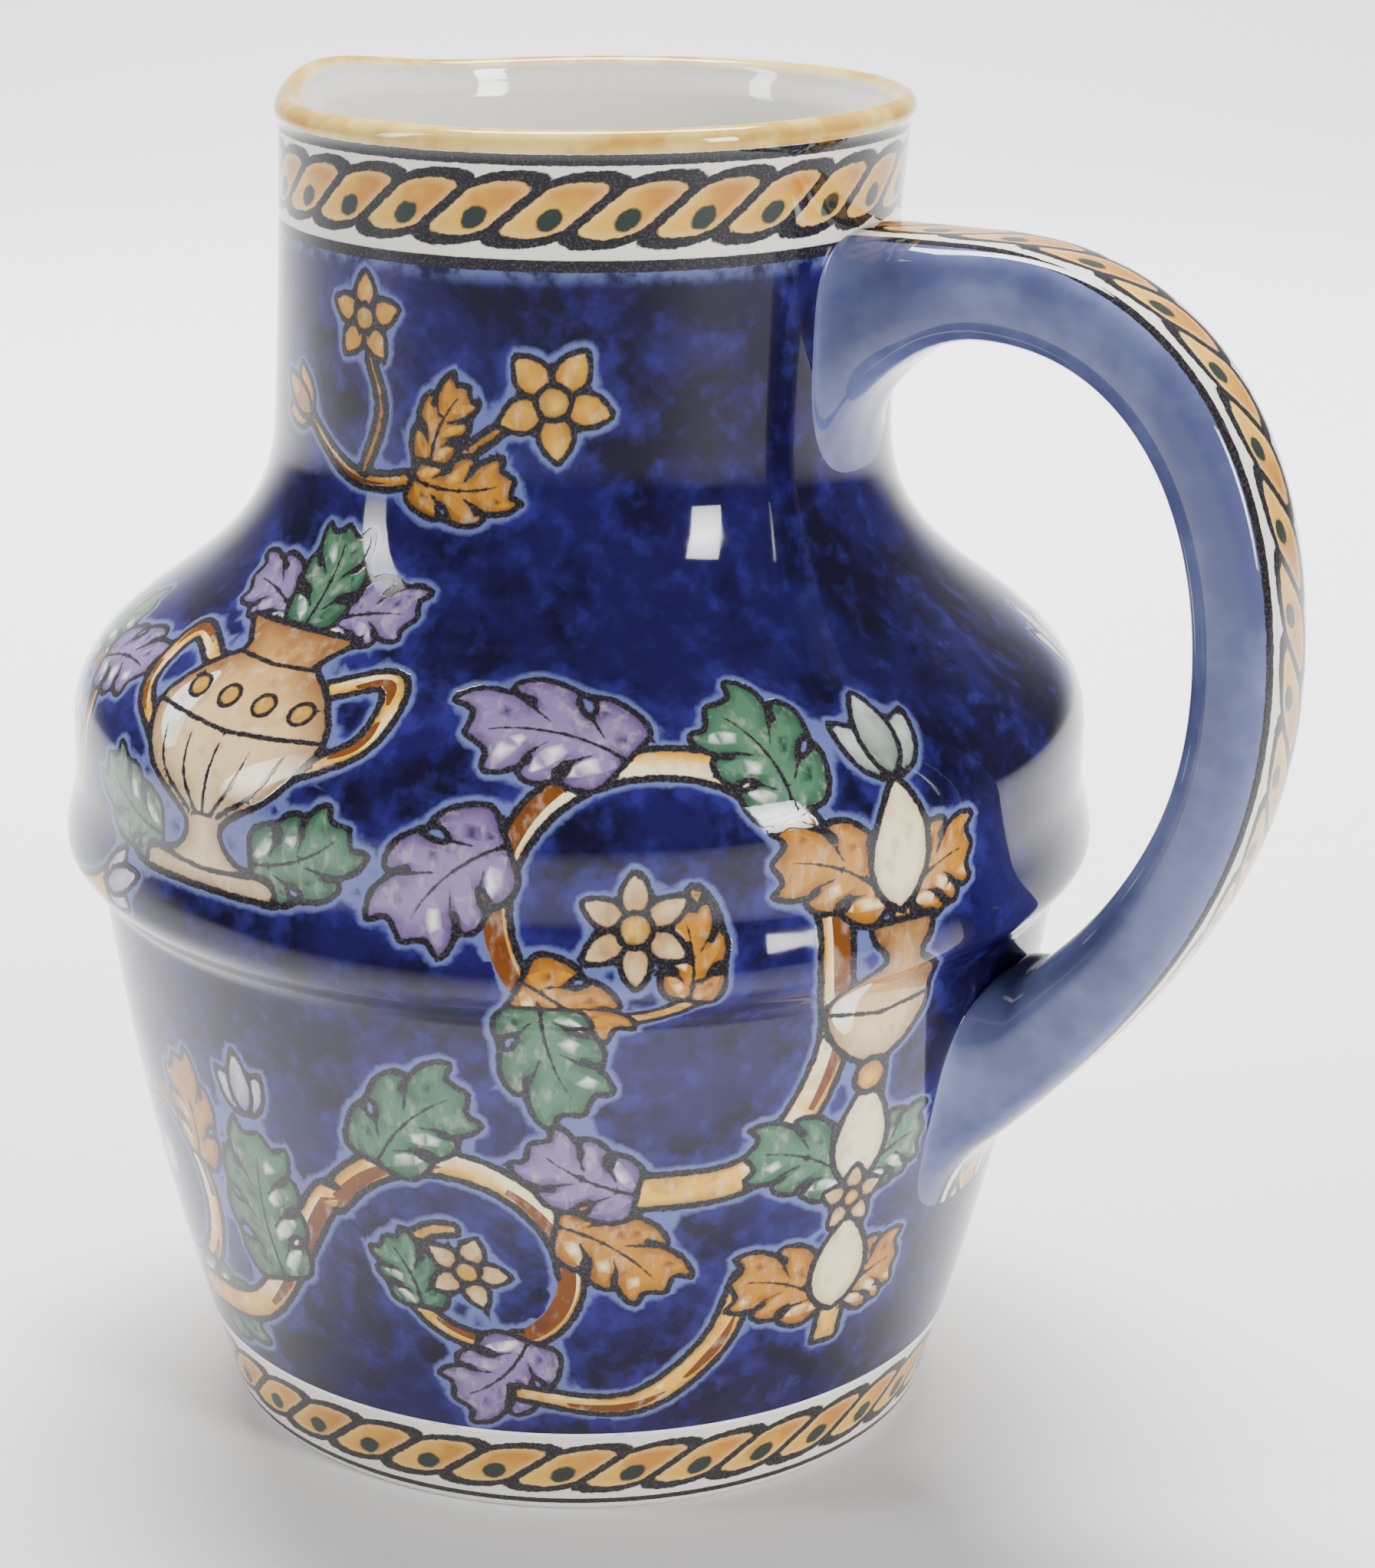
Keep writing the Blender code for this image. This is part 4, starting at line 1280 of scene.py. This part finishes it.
def rope(cell, rise_share, spacing, half, thick):
    """A rope of links: cell counts links along it, rise_share goes from -1 to 1 across it."""
    slanted = calc("SUBTRACT", cell, calc("MULTIPLY", rise_share, 0.5))
    inside = calc("SUBTRACT", calc("FRACT", calc("ADD", slanted, 0.5)), 0.5)
    aside = calc("ABSOLUTE", inside)
    bulge = calc("ADD", calc("POWER", calc("DIVIDE", aside, LINK_REACH), LINK_SQUARENESS),
                 calc("POWER", calc("ABSOLUTE", rise_share), LINK_SQUARENESS))
    off_rim = calc("SUBTRACT", 1.0, calc("POWER", bulge, 1 / LINK_SQUARENESS))
    to_rim = calc("MULTIPLY", off_rim, LINK_FILL * half)
    slant = math.cos(math.atan2(0.5 * spacing, half))
    to_side = calc("MULTIPLY", calc("SUBTRACT", 0.5, aside), spacing * slant)
    to_line = calc("MINIMUM", to_rim, to_side)
    wobble = calc("MULTIPLY", pencil, 0.7)
    outline = rise(calc("ADD", calc("ABSOLUTE", to_rim), wobble), thick + 0.07, thick - 0.07)
    between = calc("MULTIPLY", rise(calc("ADD", to_side, wobble), thick + 0.05, thick - 0.09),
                   rise(to_rim, -0.1, 0.0))
    forward = calc("ADD", calc("MULTIPLY", rise_share, 0.5), EYE_FORWARD)
    eye_x = calc("MULTIPLY", calc("ADD", inside, forward), spacing)
    eye_y = calc("MULTIPLY", calc("ADD", rise_share, EYE_DOWN), half)
    cosine, sine = math.cos(EYE_TILT), math.sin(EYE_TILT)
    eye_long = calc("ADD", calc("MULTIPLY", eye_x, cosine), calc("MULTIPLY", eye_y, sine))
    eye_thin = calc("SUBTRACT", calc("MULTIPLY", eye_y, cosine), calc("MULTIPLY", eye_x, sine))
    eye_size = calc("SQRT", calc("ADD", squared(eye_long, EYE_LONG), squared(eye_thin, EYE_THIN)))
    eye = rise(calc("ADD", eye_size, calc("MULTIPLY", wobble, 1.2)), 1.12, 0.85)
    mottle = calc("ADD", calc("MULTIPLY", rise_share, 0.30), clouds(0.25, 2.0, 0.5, seed=7.0))
    warmth = calc("ADD", calc("MULTIPLY", inside, 0.5), mottle)
    fill = blend(rise(warmth, 0.25, 0.75), AMBER, ORANGE)
    fill = blend(rise(to_line, thick + 0.75, thick, 0.0, 0.45), fill, LINK_GLOW)
    fill = blend(eye, fill, EYE_GREEN)
    body = blend(rise(to_rim, -0.05, 0.05), WARM_WHITE, fill)
    ink = calc("MAXIMUM", outline, between)
    return blend(ink, body, blend(rise(grain, 0.45, 0.75), INK_BLACK, INK_GREY))


NECK_LINKS, FOOT_LINKS, STRAP_LINK = 27, 35, 7.0
NECK_ROPE_LOW, NECK_ROPE_HIGH, NECK_ROPE_LEVEL = 111.3, 116.8, 114.0
FOOT_ROPE_LOW, FOOT_ROPE_HIGH, FOOT_ROPE_LEVEL = 2.5, 7.5, 5.0
STRAP_ROPE_HALF = 2.75
NECK_THICK, FOOT_THICK, STRAP_THICK = 0.43, 0.38, 0.40
turn_share = calc("DIVIDE", turn, 2 * math.pi)


def border(low, high, level, links, thick):
    """A rope round the jug between two heights, its links measured at a level."""
    bottom, top = profile_at_height(low), profile_at_height(high)
    radius = float(np.interp(profile_at_height(level), section_length, section[:, 0]))
    half = (top - bottom) / 2
    share = calc("DIVIDE", calc("SUBTRACT", profile, (bottom + top) / 2), half)
    return rope(calc("MULTIPLY", turn_share, links), share, 2 * math.pi * radius / links, half, thick)


neck_rope = border(NECK_ROPE_LOW, NECK_ROPE_HIGH, NECK_ROPE_LEVEL, NECK_LINKS, NECK_THICK)
foot_rope = border(FOOT_ROPE_LOW, FOOT_ROPE_HIGH, FOOT_ROPE_LEVEL, FOOT_LINKS, FOOT_THICK)
strap_rope = rope(calc("DIVIDE", along, STRAP_LINK), calc("DIVIDE", across, STRAP_ROPE_HALF),
                  STRAP_LINK, STRAP_ROPE_HALF, STRAP_THICK)
print("Rope links:", NECK_LINKS, "round the neck,", FOOT_LINKS, "round the foot")

# %% [markdown]
# The ground is laid on first, then the motifs, then the bands, in the order of the kiln: each
# step here mixes one layer over what is there already.

# %% Cobalt ground and motifs
DEEP_COBALT = paint(0.05, 0.03, 0.14)
COBALT = paint(0.095, 0.065, 0.28)
BRIGHT_COBALT = paint(0.19, 0.17, 0.50)
PALE_EDGE = paint(0.40, 0.44, 0.66)
STRAP_BLUE = paint(0.32, 0.34, 0.50)
STRAP_PALE = paint(0.41, 0.44, 0.60)
WORN_PALE = paint(0.95, 0.91, 0.82)
WASH_GREY = paint(0.72, 0.66, 0.66)

sponged = clouds(0.10, 4.0, 0.62)
patches = clouds(0.42, 3.0, 0.55, seed=11.0)
halo = calc("ADD", stored("halo"), calc("MULTIPLY", pencil, 0.8))
ink_gap = stored("ink")
near_paint = rise(halo, 3.4, 0.2)
ground = blend(rise(sponged, 0.42, 0.60), DEEP_COBALT, COBALT)
brightness = calc("ADD", calc("MULTIPLY", near_paint, 0.16), patches)
ground = blend(rise(brightness, 0.46, 0.86, 0.0, 0.65), ground, BRIGHT_COBALT)
pale_gap = calc("ADD", halo, calc("MULTIPLY", calc("SUBTRACT", patches, 0.5), 0.8))
ground = blend(rise(pale_gap, 0.95, 0.42, 0.0, 0.85), ground, PALE_EDGE)

painted = stored("paint", "Color")
covered = rise(stored("paint", "Alpha"), 0.4, 0.6)
streaks = clouds(0.9, 3.0, 0.6, stretch=(1.0, 1.0, 0.45), seed=5.0)
lighter = blend(0.30, painted, WORN_PALE)
darker_mix = add("ShaderNodeMix", data_type="RGBA", blend_type="MULTIPLY")
feed(darker_mix.inputs[0], rise(clouds(0.5, 2.0, 0.5, seed=9.0), 0.52, 0.75, 0.0, 0.55))
feed(darker_mix.inputs[6], painted)
feed(darker_mix.inputs[7], WASH_GREY)
brushed = blend(rise(streaks, 0.50, 0.74, 0.0, 0.7), darker_mix.outputs[2], lighter)
surface = blend(covered, ground, brushed)
ink_mask = rise(calc("ADD", ink_gap, calc("MULTIPLY", pencil, 0.75)), 0.09, -0.09)
ink_colour = blend(rise(grain, 0.45, 0.75), INK_BLACK, INK_GREY)
surface = blend(ink_mask, surface, ink_colour)
print("Ground and motifs:", len(glaze_tree.nodes), "nodes so far")

# %% [markdown]
# The bands go over the ground, so they come after it. Each one is a range of profile length
# rather than of height, so it keeps level with the soft rim. The strap has its own paler blue,
# with the rope down its back, and the lip ends in brushed gold that stops short of the white
# inside. The ring that the jug stands on is given bare clay, as such jugs often have it.

# %% Bands, strap and lip
def height_band(limits, wobble=0.45):
    """One between two heights on the outside, with edges as unsteady as a hand-drawn line."""
    moved = calc("ADD", profile, calc("MULTIPLY", pencil, wobble))
    return within(moved, profile_at_height(limits[0]), profile_at_height(limits[1]))


def past_height(low, high, bottom=0.0, top=1.0):
    """A soft step on the outside between two heights."""
    return rise(profile, profile_at_height(low), profile_at_height(high), bottom, top)


GOLD_LIP = paint(0.80, 0.63, 0.27)
PALE_GOLD = paint(0.92, 0.80, 0.45)
BROWN_LIP = paint(0.64, 0.46, 0.22)
INSIDE_WHITE = paint(0.93, 0.925, 0.89)
BISCUIT = paint(0.80, 0.74, 0.66)
NECK_PANEL, FOOT_PANEL = (110.75, 117.3), (1.95, 8.05)
NECK_LINE, LIP_LINE, FOOT_LINE = (109.05, 110.0), (117.6, 118.55), (0.95, 1.5)
BARE_RING_FROM, BARE_RING_TO = -4.6, -0.15
STRAP_WHITE_HALF, STRAP_LINE_HALF, STRAP_LINE_END = 3.25, 4.1, 4.85
LIP_GOLD_INWARD = 1.2
PALE_FROM, PALE_TO = 107.6, 109.0
NECK_WHITE, FOOT_WHITE, LIP_GOLD = (109.95, 110.1), (8.7, 8.55), (118.5, 118.65)

pale_below_border = calc("MULTIPLY", past_height(PALE_FROM, PALE_TO, 0.0, 0.7), rise(patches, 0.35, 0.6))
surface = blend(pale_below_border, surface, PALE_EDGE)
surface = blend(past_height(*NECK_WHITE), surface, WARM_WHITE)
surface = blend(height_band(NECK_PANEL, wobble=0.0), surface, neck_rope)
surface = blend(height_band(NECK_LINE), surface, ink_colour)
surface = blend(height_band(LIP_LINE), surface, ink_colour)
surface = blend(past_height(*FOOT_WHITE), surface, WARM_WHITE)
surface = blend(height_band(FOOT_PANEL, wobble=0.0), surface, foot_rope)
surface = blend(height_band(FOOT_LINE, wobble=0.25), surface, ink_colour)

strap_ground = blend(rise(clouds(0.12, 3.0, 0.6, seed=21.0), 0.35, 0.65), STRAP_BLUE, STRAP_PALE)
off_middle = calc("ABSOLUTE", across)
strap_band = blend(rise(off_middle, STRAP_WHITE_HALF + 0.05, STRAP_WHITE_HALF - 0.05), WARM_WHITE,
                   strap_rope)
strap_surface = blend(rise(off_middle, STRAP_LINE_HALF + 0.05, STRAP_LINE_HALF - 0.05), strap_ground,
                      strap_band)
strap_line = within(calc("ADD", off_middle, calc("MULTIPLY", pencil, 0.5)), STRAP_LINE_HALF - 0.1,
                    STRAP_LINE_END)
strap_surface = blend(calc("MULTIPLY", strap_line, rise(along, 2.5, 4.5)), strap_surface, ink_colour)
surface = blend(calc("GREATER_THAN", on_strap, 0.5), surface, strap_surface)

lip_clouds = clouds(0.16, 3.0, 0.6, seed=31.0)
lip_colour = blend(rise(lip_clouds, 0.40, 0.62), GOLD_LIP, PALE_GOLD)
lip_colour = blend(rise(lip_clouds, 0.38, 0.26, 0.0, 0.7), lip_colour, BROWN_LIP)
lip_end = calc("ADD", RIM_PROFILE + LIP_GOLD_INWARD, calc("MULTIPLY", pencil, 1.2))
surface = blend(past_height(*LIP_GOLD), surface, lip_colour)
surface = blend(rise(calc("SUBTRACT", profile, lip_end), -0.6, 0.7), surface, INSIDE_WHITE)
surface = blend(rise(profile, 0.35, 0.05), surface, WARM_WHITE)
bare = within(profile, BARE_RING_FROM, BARE_RING_TO, 0.15)
surface = blend(bare, surface, BISCUIT)
print("Glaze layers:", len(glaze_tree.nodes), "nodes")

# %% [markdown]
# The glaze is one smooth, clear coat, so a single Principled shader with a low
# roughness is enough and a coat layer would only double the reflection. Slow noise makes it a
# little uneven. The bump adds faint ripples, and gives the ink lines a hair's breadth of edge.

# %% Shine
GLAZE_IOR = 1.52
GLOSSIEST, DULLEST = 0.035, 0.085
RIPPLE_DEPTH = 0.06 * MM

glaze_shader = add("ShaderNodeBsdfPrincipled")
feed(glaze_shader.inputs["Base Color"], surface)
glaze_shader.inputs["IOR"].default_value = GLAZE_IOR
glaze_roughness = rise(clouds(0.35, 3.0, 0.6, seed=41.0), 0.35, 0.8, GLOSSIEST, DULLEST)
feed(glaze_shader.inputs["Roughness"], calc("ADD", glaze_roughness, calc("MULTIPLY", bare, 0.6)))
ripples = add("ShaderNodeBump")
ripples.inputs["Strength"].default_value = 1.0
ripples.inputs["Distance"].default_value = RIPPLE_DEPTH
feed(ripples.inputs["Height"], calc("ADD", clouds(0.045, 1.0, 0.4, seed=51.0),
                                    calc("MULTIPLY", ink_mask, 0.12)))
feed(glaze_shader.inputs["Normal"], ripples.outputs[0])
glaze_output = add("ShaderNodeOutputMaterial")
feed(glaze_output.inputs["Surface"], glaze_shader.outputs[0])
jug_mesh.materials.append(glaze)
print("Glaze finished:", len(glaze_tree.nodes), "nodes")

# %% [markdown]
# The jug stands on a plain pale floor that rises far behind it in a soft sweep. The room in
# front of it is dim, which is what makes the cobalt look deep: a glaze this smooth is a mirror,
# and its dark parts are reflections of a dark room. A window-like light on the right and a
# narrow one on the left give the glints, and a large soft one overhead lights the painting.

# %% Floor and backdrop
SWEEP_START = 700.0
SWEEP_RADIUS = 400.0
SWEEP_TOP = 1300.0
SWEEP_HALF_WIDTH = 1600.0
SWEEP_FRONT = -1500.0
FLOOR_PALE = (0.82, 0.82, 0.83, 1.0)

floor_mesh = bmesh.new()
turned_sweep = [(SWEEP_FRONT, 0.0), (0.0, 0.0), (SWEEP_START, 0.0)]
turned_sweep += [(SWEEP_START + SWEEP_RADIUS * math.sin(a), SWEEP_RADIUS * (1 - math.cos(a)))
                 for a in np.radians(np.arange(7.5, 83, 7.5))]
turned_sweep += [(SWEEP_START + SWEEP_RADIUS, SWEEP_RADIUS), (SWEEP_START + SWEEP_RADIUS, SWEEP_TOP)]
side_points = [floor_mesh.verts.new((-SWEEP_HALF_WIDTH, y, z)) for y, z in turned_sweep]
side_lines = [floor_mesh.edges.new(pair) for pair in zip(side_points, side_points[1:])]
pulled = bmesh.ops.extrude_edge_only(floor_mesh, edges=side_lines)["geom"]
bmesh.ops.translate(floor_mesh, verts=[v for v in pulled if isinstance(v, bmesh.types.BMVert)],
                    vec=(2 * SWEEP_HALF_WIDTH, 0, 0))
bmesh.ops.rotate(floor_mesh, verts=floor_mesh.verts, cent=(0, 0, 0),
                 matrix=Matrix.Rotation(HANDLE_TOWARDS_CAMERA, 3, "Z"))
floor_mesh.transform(Matrix.Scale(MM, 4))
bmesh.ops.recalc_face_normals(floor_mesh, faces=floor_mesh.faces)
sweep_mesh = bpy.data.meshes.new("floor_sweep")
floor_mesh.to_mesh(sweep_mesh)
floor_mesh.free()
sweep_mesh.shade_smooth()
floor_sweep = bpy.data.objects.new("floor_sweep", sweep_mesh)
bpy.context.scene.collection.objects.link(floor_sweep)
cloth = bpy.data.materials.new("pale_cloth")
cloth.use_nodes = True
cloth_shader = cloth.node_tree.nodes["Principled BSDF"]
cloth_shader.inputs["Base Color"].default_value = FLOOR_PALE
cloth_shader.inputs["Roughness"].default_value = 0.9
sweep_mesh.materials.append(cloth)
print("Floor sweep:", len(sweep_mesh.vertices), "points")

# %% [markdown]
# Area lights are placed by their turn from the camera's side, because a glint is moved by
# walking a light round the jug. Each has a narrowed spread, as a grid on a studio light gives,
# so that it lights the jug and leaves no bright patch of floor to be mirrored in the paint.

# %% Lights
SPOT_BEHIND = 0.42
ROOM_COLOUR = (0.55, 0.58, 0.65, 1)
ROOM_STRENGTH = 0.30


def panel(name, turn, height, distance, size, power, spread, aim=(0, 0, 0.06)):
    """A rectangular light, in metres, degrees and watts; turn 0 is behind the camera, 90 to its right."""
    data = bpy.data.lights.new(name, "AREA")
    data.shape = "RECTANGLE"
    data.size, data.size_y = size
    data.energy, data.spread = power, math.radians(spread)
    light = bpy.data.objects.new(name, data)
    a = math.radians(turn) + HANDLE_TOWARDS_CAMERA
    light.location = (distance * math.sin(a), -distance * math.cos(a), height)
    light.rotation_euler = (Vector(aim) - light.location).to_track_quat("-Z", "Y").to_euler()
    bpy.context.scene.collection.objects.link(light)
    return light


behind = Matrix.Rotation(HANDLE_TOWARDS_CAMERA, 3, "Z") @ Vector((0, SPOT_BEHIND, 0))
panel("sky_behind", 179, 1.05, 0.36, (0.80, 0.36), 18, 98, aim=behind)
panel("left_bounce", -78, 0.40, 0.75, (0.14, 0.7), 0.5, 50)
panel("right_window", 44, 0.33, 0.9, (0.18, 0.46), 0.75, 44)
world = bpy.data.worlds.new("room")
world.use_nodes = True
world.node_tree.nodes["Background"].inputs["Color"].default_value = ROOM_COLOUR
world.node_tree.nodes["Background"].inputs["Strength"].default_value = ROOM_STRENGTH
bpy.context.scene.world = world

# %% [markdown]
# The last step brings the scene's placements up to date.

# %% Finish
bpy.context.view_layer.update()
